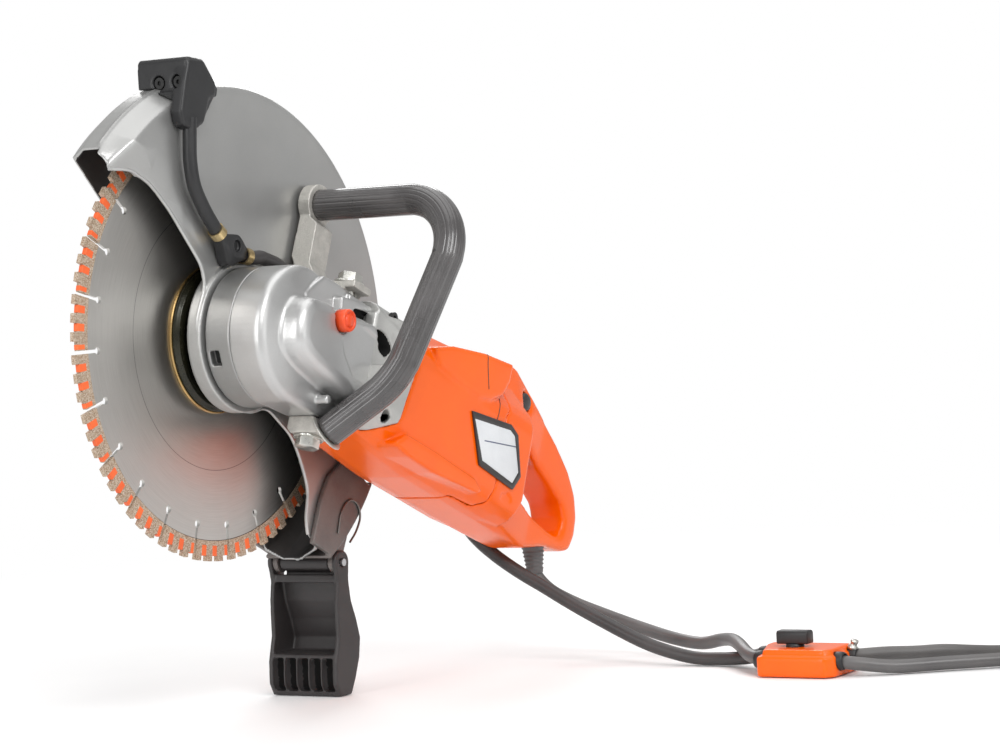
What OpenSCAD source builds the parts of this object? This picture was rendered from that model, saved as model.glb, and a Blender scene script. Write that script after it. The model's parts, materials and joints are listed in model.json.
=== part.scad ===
// Electric concrete cut-off saw with water kit.
// +X points forwards, +Y to the operator's left, +Z up. The saw stands on the foot of its flap.

/* [Blade] */
// Diameter over the diamond segments
blade_d = 350; // [346:1:354]
// Thickness of the steel core
core_t = 2.6; // [2.2:0.2:3]
// Width of the cut that the segments make
kerf = 3.6; // [3.4:0.2:4.4]
// Height of a segment
segment_h = 16; // [12:1:18]
// Number of segments round the rim
segment_count = 24; // [20:1:26]
// Diameter of the two blade flanges' larger one
flange_d = 118; // [110:1:120]

/* [Gearbox] */
// Diameter of the gearbox barrel
barrel_d = 110; // [106:1:112]
// Distance of the motor axis from the middle of the blade
motor_y = 80; // [79:0.5:81]
// Teeth on the crown gear
crown_teeth = 40; // [40:10:40]
// Teeth on the motor pinion
pinion_teeth = 10; // [10:10:10]

/* [Body] */
// Nose-up pitch of the body about the spindle
pitch = 24; // [23:0.5:25]
// Width of the motor housing
body_w = 90; // [86:1:90]
// Height of the motor axis above the underside of the body
body_drop = 66; // [64:1:68]
// Wall of the plastic housings
wall = 3; // [2.5:0.5:4]
// Width of the rear grip
grip_w = 36; // [32:1:38]

/* [Front handle] */
// Outer diameter of the front handle with its rubber sleeve
handle_d = 25; // [24:0.5:26]
// Outer diameter of the steel tube under the sleeve
tube_d = 19; // [18:0.5:20]

/* [Guard] */
// Radius of the guard's rim
guard_r = 205; // [203:1:206]
// Wall of the cast guard
guard_t = 2.5; // [2:0.5:3]
// Distance of the gearbox side wall from the middle of the blade
guard_y = 28; // [27:0.5:28]
// Distance of the free side wall from the middle of the blade
guard_far_y = 24; // [22:0.5:26]
// Width of the flap over its ears
flap_w = 68; // [66:1:68]
// Diameter of the flap's hinge pin
pin_d = 6; // [5:0.5:6]

/* [Cords] */
// Diameter of the power cable
cable_d = 11; // [10:0.5:11]
// Diameter of the water hose
hose_d = 11; // [10:0.5:11]

/* [Hidden] */
$fn = 64;
// height of the spindle over the floor, and its place over the middle of the saw's base
spindle_h = 298;
spindle_x = 103.3;
spindle_y = -74.7;

core_r = blade_d / 2 - segment_h;
segment_angle = 360 / segment_count;
slot_w = 2.6;
keyhole_r = 3;
arbor_r = 12.7;
barrel_r = barrel_d / 2;
nose_r = 49.7;
hub_r = 50;
hinge_x = -109;
hinge_z = -190;
guard_start = 48;
guard_end = 245;
handle_x = -50;
half_w = body_w / 2;
crown_r = 39.5;
crown_tip_y = motor_y - 9.8;
pinion_tip_r = 10;
cable_r = cable_d / 2;
hose_r = hose_d / 2;

// centre lines, in the saw's own coordinates from the middle of the blade
guard_hose_path = [[60, 36, 172], [62, 36, 155], [63, 36, 138], [60, 36, 120], [51, 36, 104],
  [41, 36, 91], [32, 36, 81]];
feed_hose_path = [[3, 37, 64], [-7, 37.5, 62], [-16, 38, 62]];
// the hose along the body, in body coordinates
body_hose_path = [[-34, 39.5, 63.5], [-60, 40, 62], [-110, 41, 60], [-160, 41, 58],
  [-205, 42, 54], [-240, 43, 44], [-268, 43, 26], [-288, 43, 2], [-304, 43.5, -22], [-318, 45, -42]];
// the free stretches, in saw coordinates, down to the floor and along it
free_hose_path = [[-284, 51, -188], [-293, 66, -206], [-298, 86, -221], [-300, 107, -233],
  [-300, 133, -247], [-299, 162, -261], [-298, 200, -278], [-299, 227, -287], [-300, 252, -292],
  [-299, 278, -292], [-293, 302, -290], [-285, 321, -286], [-284, 331, -286]];
cable_path = [[-333, 80, -226], [-338, 90, -240], [-341, 112, -252], [-345, 140, -263], [-348, 172, -274],
  [-348, 205, -283], [-343, 234, -286], [-330, 260, -281], [-310, 281, -278], [-289, 299, -279],
  [-271, 314, -282], [-261, 327, -285], [-259, 342, -286]];
supply_cable_path = [[-259, 396, -286], [-262, 414, -288], [-276, 443, -292], [-297, 474, -292],
  [-315, 502, -292], [-334, 530, -292], [-353, 564, -292], [-370, 603, -292]];
supply_hose_path = [[-284, 396, -286], [-287, 410, -285], [-299, 426, -285], [-312, 444, -286],
  [-324, 464, -286], [-342, 483, -289], [-365, 498, -292], [-392, 509, -292]];
coil_at = [-302, 643, -298];
coil_r = 66;
coil_h = 45;

// ---------- helpers ----------
module at_saw() { translate([spindle_x, spindle_y, spindle_h]) children(); }
module at_body() { at_saw() rotate([0, -pitch, 0]) children(); }
module at_motor() { at_body() translate([0, motor_y, 0]) children(); }
// an outline in X and Z, made solid from y0 to y1
module plate_y(y0, y1) { translate([0, y1, 0]) rotate([90, 0, 0]) linear_extrude(y1 - y0) children(); }
// an outline in Y and Z, made solid from x0 to x1
module plate_x(x0, x1) { translate([x0, 0, 0]) rotate([90, 0, 90]) linear_extrude(x1 - x0) children(); }
module bar_y(r, y0, y1, x = 0, z = 0) {
  translate([x, y0, z]) rotate([-90, 0, 0]) cylinder(r = r, h = y1 - y0);
}
module bar_x(r, x0, x1, y = 0, z = 0) {
  translate([x0, y, z]) rotate([0, 90, 0]) cylinder(r = r, h = x1 - x0);
}
module bar_z(r, z0, z1, x = 0, y = 0) { translate([x, y, z0]) cylinder(r = r, h = z1 - z0); }
// a profile in radius and Y, swept round the spindle from angle a0 to a1
module sweep_y(a0, a1) {
  rotate([90, 0, 0]) rotate([0, 0, a0]) rotate_extrude(angle = a1 - a0, $fn = 128)
    mirror([0, 1]) children();
}
function polar(r, a) = [r * cos(a), r * sin(a)];
function arc(r, a0, a1, n) = [for (i = [0:n]) polar(r, a0 + (a1 - a0) * i / n)];
module ring_y(r_out, r_in, y0, y1, x = 0, z = 0) {
  difference() {
    bar_y(r_out, y0, y1, x, z);
    bar_y(r_in, y0 - 1, y1 + 1, x, z);
  }
}
module ring_x(r_out, r_in, x0, x1, y = 0, z = 0) {
  difference() {
    bar_x(r_out, x0, x1, y, z);
    bar_x(r_in, x0 - 1, x1 + 1, y, z);
  }
}
// a tube swept along a list of points with mitred rings
function unit(v) = v / norm(v);
function heading(p, i) =
  unit(unit(p[min(i + 1, len(p) - 1)] - p[i] + (i == len(p) - 1 ? p[i] - p[i - 1] : [0, 0, 0]))
    + unit(p[i] - p[max(i - 1, 0)] + (i == 0 ? p[1] - p[0] : [0, 0, 0])));
function side_of(h) = unit(cross(h, [0.62, 0, -0.78]));
function ring_at(c, h, r, n) =
  let (u = side_of(h), v = cross(h, u)) [for (k = [0:n - 1]) c + r * (u * cos(360 * k / n) + v * sin(360 * k / n))];
module tube(path, r, n = 8) {
  rings = [for (i = [0:len(path) - 1]) each ring_at(path[i], heading(path, i), r, n)];
  last = (len(path) - 1) * n;
  sides = [for (i = [0:len(path) - 2]) for (k = [0:n - 1])
    [i * n + k, (i + 1) * n + k, (i + 1) * n + (k + 1) % n, i * n + (k + 1) % n]];
  ends = [[for (k = [0:n - 1]) k], [for (k = [n - 1:-1:0]) last + k]];
  polyhedron(points = rings, faces = concat(sides, ends), convexity = 4);
}
// a point of the body, in saw coordinates
function body_point(p) =
  [p[0] * cos(pitch) - p[2] * sin(pitch), p[1], p[0] * sin(pitch) + p[2] * cos(pitch)];

// ---------- blade and spindle ----------
module blade_core() {
  color("silver") at_saw() plate_y(-core_t / 2, core_t / 2) difference() {
    circle(r = core_r, $fn = 128);
    circle(r = arbor_r);
    for (i = [0:segment_count - 1]) rotate(i * segment_angle) {
      translate([core_r - 12, -slot_w / 2]) square([20, slot_w]);
      translate([core_r - 12, 0]) circle(r = keyhole_r, $fn = 24);
    }
  }
}
// one segment: three grit teeth with a lower step before each
module segment_outline() {
  r_out = blade_d / 2;
  gap = slot_w / core_r * 90 / PI;
  step = (segment_angle - 2 * gap) / 6;
  polygon(concat(
    [for (i = [6:-1:0]) polar(core_r, gap + i * step)],
    [for (i = [0:5]) for (e = [0, 1]) polar(i % 2 == 0 ? r_out - 4.5 : r_out, gap + (i + e) * step)]));
}
module blade_segments() {
  color("tan") at_saw() plate_y(-kerf / 2, kerf / 2)
    for (i = [0:segment_count - 1]) rotate(i * segment_angle) segment_outline();
}
module inner_flange() {
  color("goldenrod") at_saw() difference() {
    union() {
      bar_y(flange_d / 2, core_t / 2, 5);
      bar_y(flange_d / 2 - 3, 5, 9);
      bar_y(20, 9, 24);
    }
    bar_y(12.5, 0, 30);
    ring_y(flange_d / 2 - 12, 26, 6.5, 12);
  }
}
module outer_flange() {
  color("dimgray") at_saw() difference() {
    union() {
      bar_y(flange_d / 2 - 14, -4.5, -core_t / 2);
      bar_y(24, -8, -4.5);
    }
    bar_y(5.4, -9, 0);
  }
}
module blade_bolt() {
  color("gainsboro") at_saw() {
    bar_y(11, -10, -8);
    translate([0, -10, 0]) rotate([90, 0, 0]) cylinder(r = 9.8, h = 7, $fn = 6);
    bar_y(5, -8, 22);
  }
}
module spindle() {
  color("lightsteelblue") at_saw() difference() {
    union() {
      bar_y(12.5, -core_t / 2, 38);
      bar_y(15.5, 38, 52);
      bar_y(12, 52, 66);
      bar_y(10, 66, 92);
      bar_y(7.5, 92, 101.2);
    }
    bar_y(5, -6, 24);
  }
}
module crown_gear() {
  color("slategray") at_saw() {
    difference() {
      union() {
        bar_y(crown_r + 1, 56, 66);
        bar_y(20, 52, 56);
      }
      bar_y(12, 50, 70);
    }
    rotate([0, -pitch, 0]) for (i = [0:crown_teeth - 1])
      rotate([0, (i + 0.5) * 360 / crown_teeth, 0])
        translate([32, 66, -0.9]) cube([crown_r - 32, crown_tip_y - 66, 1.8]);
  }
}

// ---------- motor ----------
module armature_shaft() {
  color("lightsteelblue") at_motor() {
    bar_x(6.5, -64, -30);
    bar_x(7.5, -110, -64);
    bar_x(7.5, -212, -110);
    bar_x(6, -226.6, -212);
    for (i = [0:pinion_teeth - 1]) rotate([i * 360 / pinion_teeth, 0, 0])
      plate_x(-40.5, -31) polygon([[6, -1.2], [pinion_tip_r, -0.45], [pinion_tip_r, 0.45], [6, 1.2]]);
  }
}
module armature_core() {
  color("dimgray") at_motor() {
    difference() {
      bar_x(26, -170, -108);
      bar_x(7.5, -171, -107);
      for (i = [0:11]) rotate([i * 30, 0, 0]) translate([-171, -1.2, 20]) cube([64, 2.4, 8]);
    }
    ring_x(21, 7.5, -108, -100);
    ring_x(21, 7.5, -178, -170);
  }
}
module commutator() {
  color("peru") at_motor() difference() {
    bar_x(17, -206, -182);
    bar_x(7.5, -207, -181);
    for (i = [0:23]) rotate([i * 15, 0, 0]) translate([-205, -0.3, 15.5]) cube([22, 0.6, 4]);
  }
}
module cooling_fan() {
  color("black") at_motor() {
    ring_x(40, 7.5, -97, -95);
    ring_x(14, 7.5, -95, -86);
    for (i = [0:10]) rotate([i * 360 / 11, 0, 0]) translate([-95, -1, 13.5]) cube([9, 2, 26]);
  }
}
module ball_race(r_out, r_in, w) {
  difference() {
    cylinder(r = r_out, h = w);
    translate([0, 0, -1]) cylinder(r = r_in, h = w + 2);
  }
}
module spindle_bearings() {
  color("silver") at_saw() {
    translate([0, 26, 0]) rotate([-90, 0, 0]) ball_race(26, 12.55, 11.7);
    translate([0, 92.3, 0]) rotate([-90, 0, 0]) ball_race(16, 7.55, 9);
  }
}
module armature_bearings() {
  color("silver") at_motor() {
    translate([-80, 0, 0]) rotate([0, 90, 0]) ball_race(17.5, 7.55, 11);
    translate([-227, 0, 0]) rotate([0, 90, 0]) ball_race(13, 6.05, 10);
  }
}
module field_stator() {
  color("gray") at_motor() difference() {
    intersection() {
      bar_x(45, -170, -108);
      translate([-175, -39, -50]) cube([70, 78, 100]);
    }
    bar_x(27.2, -171, -107);
    for (s = [-1, 1]) translate([-171, s * 31 - 5, -14]) cube([64, 10, 28]);
  }
}
module field_coils() {
  color("sienna") at_motor() for (s = [-1, 1]) {
    translate([-176, s * 31 - 4.8, -13.8]) cube([74, 9.6, 27.6]);
  }
}
module brush_holders() {
  color("goldenrod") at_motor() for (s = [0, 180]) rotate([s, 0, 0]) difference() {
    translate([-201, -7, 19]) cube([14, 14, 24]);
    translate([-198.5, -4.5, 18]) cube([9, 9, 23]);
  }
}
module carbon_brushes() {
  color("black") at_motor() for (s = [0, 180]) rotate([s, 0, 0])
    translate([-198.3, -4.3, 17.2]) cube([8.6, 8.6, 20]);
}

// ---------- gearbox ----------
module gearbox_collar() {
  color("silver") at_body() difference() {
    union() {
      bar_y(nose_r, 16, 33);
      bar_y(barrel_r, 33, 56);
    }
    bar_y(22, 15, 26.1);
    bar_y(26, 26, 37.7);
    bar_y(22, 37, 60);
    bar_y(43, 50, 60);
    rotate([0, 38, 0]) translate([barrel_r - 7, 36, -6]) cube([10, 9, 12]);
  }
}
// where the flange is screwed to the gearbox, in the body's X and Z
screw_places = [[-78, 43], [-77, -40]];
// outline of the gearbox seen from the operator's left
module gearbox_outline(d = 0) {
  union() {
    circle(r = barrel_r - d, $fn = 96);
    polygon([[0, barrel_r - d], [-30, 53 - d], [-62, 50 - d], [-62, -50 + d], [-30, -53 + d],
      [0, -barrel_r + d]]);
  }
}
module boss_outline(d = 0) {
  polygon([[44 - d, 10 - d / 2], [43 - d, -14], [34 - d, -28 + d / 2], [2, -40 + d], [-32, -49 + d],
    [-62, -44 + d], [-62, 26 - d], [-22, 28 - d], [22, 26 - d], [38 - d, 20 - d]]);
}
module gear_housing() {
  color("silver") at_body() difference() {
    union() {
      plate_y(56, 77) gearbox_outline();
      hull() {
        plate_y(77, 77.1) gearbox_outline();
        plate_y(84, 84.1) gearbox_outline(3);
        plate_y(88, 88.1) gearbox_outline(8);
      }
      hull() {
        plate_y(87, 87.1) boss_outline();
        plate_y(106, 106.1) boss_outline(7);
        plate_y(112, 112.1) boss_outline(12);
      }
      translate([handle_x - 12, 62, 36]) cube([24, 34, 12.8]);
    }
    bar_y(43, 55, 80);
    bar_y(30, 55, 88);
    bar_y(16, 90, 101.6);
    bar_y(12, 80, 95);
    bar_x(18.5, -63, -30, motor_y);
    bar_x(13, -64, 0, motor_y);
    bar_y(9.3, 91, 120, -16, 17);
    bar_y(3.3, 60, 95, -16, 17);
    bar_z(5.2, 36, 60, handle_x, 84);
    bar_z(5.2, -60, -41, handle_x, 72);
  }
}
module spindle_lock_button() {
  color("orangered") at_body() difference() {
    union() {
      bar_y(9, 107, 117, -16, 17);
      bar_y(3, 78, 108, -16, 17);
    }
    ring_y(6.3, 5, 116, 118, -16, 17);
  }
}
module lock_spring() {
  color("silver") at_body() ring_y(7, 5.6, 91.4, 106.6, -16, 17);
}

// ---------- housings ----------
// half of a body slice in Y and Z: belly corner, flat side, shoulder and crown
function half_slice(top, low, w, top_w, d) = [
  for (a = [-90:18:0]) [w / 2 - 28, low + 28] + (28 - d) * [cos(a), sin(a)],
  for (a = [0:18:36]) [w / 2 - 28, 16] + (28 - d) * [cos(a), sin(a)],
  for (a = [54:18:90]) [top_w / 2 - 18, top - 18] + (18 - d) * [cos(a), sin(a)]];
function body_slice(s, d) =
  let (h = half_slice(s[1], s[2], s[3], s[4], d), n = len(h))
    [for (p = h) [s[0], motor_y + p[0], p[1]],
     for (i = [n - 1:-1:0]) [s[0], motor_y - h[i][0], h[i][1]]];
// the body between slices of place, top, underside, width and crown width; d is the inset of a hollow
module body_solid(d = 0) {
  slices = [[-58, 52, -58, body_w - 2, 66], [-100, 53, -62, body_w, 64], [-150, 56, -body_drop, body_w, 60],
    [-215, 64, -body_drop, body_w, 54], [-262, 68, -body_drop, body_w, 48],
    [-290 + d, 60, 2 - body_drop, body_w, 44]];
  rings = [for (s = slices) body_slice(s, d)];
  n = len(rings[0]);
  polyhedron(points = [for (r = rings) each r], convexity = 4, faces = [
    for (i = [0:len(rings) - 2]) for (k = [0:n - 1]) each [
      [i * n + k, i * n + (k + 1) % n, (i + 1) * n + k],
      [i * n + (k + 1) % n, (i + 1) * n + (k + 1) % n, (i + 1) * n + k]],
    [for (k = [n - 1:-1:0]) k],
    [for (k = [0:n - 1]) (len(rings) - 1) * n + k]]);
}
// side outline of everything ahead of the orange housing
module flange_side() {
  polygon([[-62, 80], [-112, 80], [-108, 20], [-98, -20], [-94, -40], [-70, -54], [-62, -56]]);
}
module housing_side() {
  polygon([[-62, -56], [-70, -54], [-94, -40], [-98, -20], [-108, 20], [-112, 80], [-250, 80],
    [-250, 24], [-245, 18], [-245, -56], [-236, -62], [-205, -63], [-190, -80], [-50, -80]]);
}
module motor_flange() {
  color("lightgray") at_body() difference() {
    intersection() {
      body_solid();
      plate_y(0, 200) flange_side();
    }
    intersection() {
      body_solid(wall);
      plate_y(0, 200) polygon([[-82, 70], [-120, 70], [-120, -60], [-82, -60]]);
    }
    bar_x(17.5, -80.5, -60, motor_y);
    bar_x(13, -90, -50, motor_y);
    translate([-84, motor_y + 30, 14]) cube([8, 30, 16]);
    for (p = screw_places) bar_y(2.6, motor_y + 22, motor_y + 50, p[0], p[1]);
    for (p = screw_places) bar_y(5.2, motor_y + 30.6, motor_y + 50, p[0], p[1]);
  }
}
module motor_housing() {
  color("orangered") at_body() {
    difference() {
      intersection() {
        body_solid();
        plate_y(0, 200) housing_side();
      }
      intersection() {
        body_solid(wall);
        plate_y(0, 200) polygon([[-84, 90], [-260, 90], [-260, -90], [-84, -90]]);
      }
    }
    difference() {
      union() {
        bar_x(17, -228, -214, motor_y);
        translate([-226, motor_y - 2, 15]) cube([6, 4, 48]);
        translate([-226, motor_y - 2, 2 - body_drop]) cube([6, 4, body_drop - 17]);
      }
      bar_x(13, -227, -200, motor_y);
    }
  }
}
// side outline of the rear handle, and the hand opening in it
module handle_side() {
  polygon([[-251, 64], [-262, 72], [-275, 77], [-290, 76], [-318, 64], [-345, 51], [-372, 38],
    [-398, 22], [-414, 6], [-423, -12], [-424, -30], [-419, -44], [-408, -48], [-380, -52],
    [-344, -65], [-300, -66], [-251, -66]]);
}
module hand_opening_side() {
  polygon([[-294, 6], [-302, 20], [-318, 20], [-345, 10], [-372, 0], [-394, -10], [-401, -20],
    [-401, -32], [-396, -38], [-380, -38], [-350, -34], [-322, -28], [-302, -26], [-294, -20]]);
}
module rear_handle_solid() {
  difference() {
    union() {
      intersection() {
        body_solid();
        plate_y(0, 200) union() {
          polygon([[-250.1, 90], [-250.1, 24], [-245.1, 18], [-245.1, -56], [-236, -62.1],
            [-205, -63.1], [-190, -80], [-300, -80], [-300, 90]]);
        }
      }
      hull() {
        plate_y(motor_y - grip_w / 2, motor_y + grip_w / 2) intersection() {
          handle_side();
          translate([-345, -80]) square([94.9, 200]);
        }
        plate_y(motor_y - 26, motor_y + 26) translate([-290, -60]) square([38, 110]);
      }
      plate_y(motor_y - grip_w / 2, motor_y + grip_w / 2) handle_side();
    }
    plate_y(motor_y - grip_w / 2 - 20, motor_y + grip_w / 2 + 20) hand_opening_side();
    intersection() {
      body_solid(wall);
      plate_y(0, 200) polygon([[-244, 90], [-288, 90], [-288, -90], [-244, -90]]);
    }
    translate([-347, motor_y - 8, 0]) cube([60, 16, 26]);
    translate([-312, motor_y - 8, 0]) cube([30, 16, 40]);
    bar_y(1.65, motor_y - 11.3, motor_y + 11.3, -302, 17);
    bar_y(8.7, motor_y, motor_y + 40, -306, 53);
    bar_z(8, -70, -44, -384, motor_y);
  }
}
module rear_handle_left() {
  color("orangered") at_body() intersection() {
    rear_handle_solid();
    translate([-450, motor_y, -100]) cube([300, 100, 250]);
  }
}
module rear_handle_right() {
  color("orangered") at_body() intersection() {
    rear_handle_solid();
    translate([-450, motor_y - 100, -100]) cube([300, 100, 250]);
  }
}
module torx_head() {
  difference() {
    union() {
      cylinder(r = 4.4, h = 3);
      translate([0, 0, -8]) cylinder(r = 2.5, h = 8.5);
    }
    translate([0, 0, 1.4]) cylinder(r = 2, h = 3, $fn = 6);
  }
}
module housing_screws() {
  color("dimgray") at_body() for (p = screw_places)
    translate([p[0], motor_y + 30.6, p[1]]) rotate([-90, 0, 0]) torx_head();
}
function badge_points(d) = [[-190 - d, 4 - d], [-250, 13 - d], [-263 + d, 8 - d / 2],
  [-277 + d, -24 + d / 2], [-268 + d / 2, -38 + d], [-213 - d / 2, -35 + d]];
module badge_frame() {
  color("dimgray") at_body() difference() {
    plate_y(motor_y + half_w, motor_y + half_w + 2) polygon(badge_points(0));
    plate_y(motor_y + half_w + 0.8, motor_y + half_w + 3) polygon(badge_points(5));
  }
}
module badge_plate() {
  color("whitesmoke") at_body()
    plate_y(motor_y + half_w + 0.8, motor_y + half_w + 1.8) polygon(badge_points(5));
}
module trigger_switch() {
  color("dimgray") at_body() translate([-283, motor_y - 7, 24]) cube([26, 14, 24]);
}
module control_module() {
  color("darkgreen") at_body() translate([-284, motor_y - 26, -54]) cube([36, 52, 26]);
}
module trigger() {
  color("dimgray") at_body() {
    plate_y(motor_y - 7, motor_y + 7)
      polygon([[-298, 12], [-300, 26], [-308, 26], [-330, 15.4], [-340, 10], [-343, 3], [-337, -1],
        [-322, 2], [-304, 4]]);
    bar_y(1.6, motor_y - 11, motor_y + 11, -302, 17);
  }
}
module trigger_spring() {
  color("silver") at_body() bar_z(3, 26.4, 36, -306, motor_y);
}
module lockout_button() {
  color("dimgray") at_body() bar_y(8.3, motor_y + 5, motor_y + 23, -306, 53);
}

// ---------- front handle ----------
// centre line: along the top, round the corner, down the side and in below
function turn(c, r, a0, a1, n) =
  [for (i = [0:n]) [handle_x, c[0] + r * cos(a0 + (a1 - a0) * i / n), c[1] + r * sin(a0 + (a1 - a0) * i / n)]];
handle_path = concat([[handle_x, 42, 132]], turn([128, 87], 45, 90, -15, 12), turn([93.3, 15.6], 60, -15, -53, 5),
  [[handle_x, 95.9, -57.6]]);
module front_handle_tube() {
  color("gray") at_body() tube(handle_path, tube_d / 2, 24);
}
module front_handle_grip() {
  color("dimgray") at_body() difference() {
    tube(handle_path, handle_d / 2, 24);
    tube(concat([[handle_x, 36, 132]], [for (i = [1:len(handle_path) - 2]) handle_path[i]],
      [[handle_x, 91.1, -61.2]]), tube_d / 2, 24);
  }
}
module upper_bracket() {
  color("silver") at_body() difference() {
    union() {
      plate_x(handle_x - 12, handle_x + 12) polygon([[98, 55], [98, 61], [62, 61], [50, 78],
        [50, 112], [42, 118], [42, 124], [32, 124], [31, 84], [50, 49], [86, 49], [89, 55]]);
      bar_y(17, 31, 42, handle_x, 132);
    }
    bar_z(5.2, 40, 70, handle_x, 84);
    plate_y(0, 200) polygon([[-62, 40], [-62, 50], [-30, 53], [0, 55], [0, 40]]);
    bar_y(barrel_r + 0.2, 30, 90);
  }
}
module lower_bracket() {
  color("lightgray") at_body() difference() {
    union() {
      plate_x(handle_x - 12, handle_x + 12)
        polygon([[58, -48], [58, -62], [62, -66], [96, -66], [112, -56], [102, -44], [94, -49], [89, -49]]);
      translate([handle_x, 95.9, -57.6]) rotate([127, 0, 0]) cylinder(r = 16, h = 10);
    }
    plate_y(0, 90) polygon([[0, -55], [-30, -53], [-62, -50], [-62, -30], [0, -30]]);
    bar_z(5.2, -80, -40, handle_x, 72);
    bar_y(barrel_r + 0.2, 30, 88);
    translate([handle_x, 95.9, -57.6]) rotate([-53, 0, 0]) cylinder(r = handle_d / 2, h = 40);
  }
}
module bracket_bolts() {
  color("gainsboro") at_body() {
    for (b = [[84, 61, 0], [72, -66, 180]]) translate([handle_x, b[0], b[1]]) rotate([b[2], 0, 0]) {
      cylinder(r = 12, h = 2);
      translate([0, 0, 2]) cylinder(r = 9.8, h = 7, $fn = 6);
      translate([0, 0, -24]) cylinder(r = 5, h = 25);
    }
  }
}

// ---------- guard ----------
module rim_profile() {
  polygon([[196, guard_y], [guard_r, 9], [guard_r, -9], [196, -guard_far_y], [150, -guard_far_y],
    [150, guard_t - guard_far_y], [196 - guard_t, guard_t - guard_far_y], [guard_r - guard_t, -8],
    [guard_r - guard_t, 8], [196 - guard_t, guard_y - guard_t], [190, guard_y - guard_t],
    [190, guard_y]]);
}
// the gearbox side wall: tip, rim, lower end, then up to the hub and out to the tip
module near_wall_outline() {
  polygon(concat(arc(193, guard_start + 1, guard_end - 1, 64),
    [[-74, -166], [-70, -160], [-76, -124], [-62, -88], [-44, -70], [-26, -58], [0, -58], [38, -42], [57, 8],
      [44, 42], [47, 60], [58, 80], [76, 104], [96, 122], [118, 134]]));
}
module guard_shell() {
  color("silver") at_saw() difference() {
    union() {
      sweep_y(guard_start, guard_end) rim_profile();
      plate_y(guard_y - guard_t, guard_y) near_wall_outline();
      bar_y(59, 18, 31);
    }
    bar_y(hub_r, 0, 60);
  }
}
module guard_handle() {
  color("dimgray") at_saw() difference() {
    union() {
      plate_y(-9, 38) polygon([[64, 194], [63, 216], [60, 219], [42, 217], [39, 214], [24, 194], [26, 188],
        [66, 180], [69, 192]]);
      plate_y(guard_y + 0.4, 38) polygon([[24, 194], [48, 166], [62, 167], [68, 176], [66, 194]]);
    }
    sweep_y(40, 110) polygon([[150, guard_y + 0.3], [196, guard_y + 0.3], [guard_r + 0.3, 9.2],
      [guard_r + 0.3, -9.2], [196, -guard_far_y], [150, -guard_far_y]]);
    for (y = [11, 29]) bar_x(5, 62.5, 80, y, 200);
    bar_z(hose_r + 0.1, 150, 176, 60, 36);
  }
}
module guard_handle_screws() {
  color("black") at_saw() for (y = [11, 29])
    translate([59.5, y, 200]) rotate([0, 90, 0]) difference() {
      cylinder(r = 4.4, h = 3);
      translate([0, 0, 1.4]) cylinder(r = 2, h = 3, $fn = 6);
    }
}
module guard_hose() {
  color("dimgray") at_saw() {
    tube(guard_hose_path, hose_r, 10);
    tube(feed_hose_path, hose_r, 10);
  }
}
module hose_clamps() {
  color("goldenrod") at_saw() for (p = [[34, 36, 83.4, 40], [1, 37, 63.6, 12]])
    translate([p[0], p[1], p[2]]) rotate([0, -p[3] - 90 + 180, 0]) difference() {
      translate([0, 0, -3.5]) cylinder(r = hose_r + 1.2, h = 7);
      translate([0, 0, -4]) cylinder(r = hose_r + 0.1, h = 8);
    }
}
module hose_tee() {
  color("black") at_saw() difference() {
    hull() {
      bar_y(9, guard_y + 0.3, 42, 18, 72);
      bar_y(5, 32, 40, 29, 77);
      bar_y(5, 33, 41, 7, 66);
      bar_y(5, guard_y + 0.3, 38, 22, 62);
    }
    bar_y(4.5, 39, 44, 17, 72);
  }
}
module spray_nozzles() {
  color("goldenrod") at_saw() {
    bar_y(4, 20, guard_y + 0.3, 18, 72);
    bar_y(4, -guard_far_y + guard_t, -16, 40, 172);
    bar_y(4, 16, guard_y - guard_t, 40, 172);
  }
}
module flap_bracket() {
  color("dimgray") at_saw() difference() {
    union() {
      for (y = [guard_y + 0.2, -guard_far_y - 5]) plate_y(y, y + 4.8)
        polygon(concat(arc(207.4, 220, 242, 8), [[-72, -170], [-88, -136], [-102, -118], [-128, -106]]));
      sweep_y(219, 243) polygon([[guard_r + 0.2, -31], [guard_r + 3.4, -31], [guard_r + 3.4, 32.9],
        [guard_r + 0.2, 32.9]]);
      for (y = [-30, 25]) plate_y(y, y + 5) difference() {
        union() {
          translate([hinge_x, hinge_z]) circle(r = 8.5);
          polygon([[-102, -186.5], [-116, -186.5], [-131, -160], [-120, -150], [-101, -160]]);
        }
        circle(r = guard_r + 1.7, $fn = 128);
      }
    }
    bar_y(pin_d / 2, -40, 40, hinge_x, hinge_z);
    sweep_y(215, 238) polygon([[guard_r - 3, 12], [guard_r + 6, 12], [guard_r + 6, 24], [guard_r - 3, 24]]);
  }
}
module flap_profile() {
  polygon([[-103, -199], [-99, -221], [-98, -250], [-92, -270], [-91, -288], [-96, -298], [-112, -298],
    [-119, -286], [-126, -270], [-129, -254], [-125, -238], [-119, -222], [-117, -204]]);
}
module flap_hollow() {
  polygon([[-90, -206], [-90, -264], [-122, -264], [-125.5, -254], [-121.5, -238], [-115.5, -222],
    [-113.5, -206]]);
}
module flap() {
  color("dimgray") at_saw() difference() {
    union() {
      plate_y(-flap_w / 2, flap_w / 2) flap_profile();
      for (s = [-1, 1]) plate_y(s > 0 ? 30 : -flap_w / 2, s > 0 ? flap_w / 2 : -30) union() {
        translate([hinge_x, hinge_z]) circle(r = 10);
        polygon([[-119, -190], [-117, -206], [-102, -206], [-100, -194]]);
      }
    }
    bar_y(pin_d / 2 + 0.05, -40, 40, hinge_x, hinge_z);
    plate_y(-30, 30) flap_hollow();
    for (i = [0:4]) translate([-130, -30 + i * 12.2, -294]) cube([60, 10.8, 27]);
    plate_y(-30, 30) circle(r = 214, $fn = 128);
  }
}
module flap_hinge_pin() {
  color("silver") at_saw() bar_y(pin_d / 2, -36, 36, hinge_x, hinge_z);
}
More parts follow.
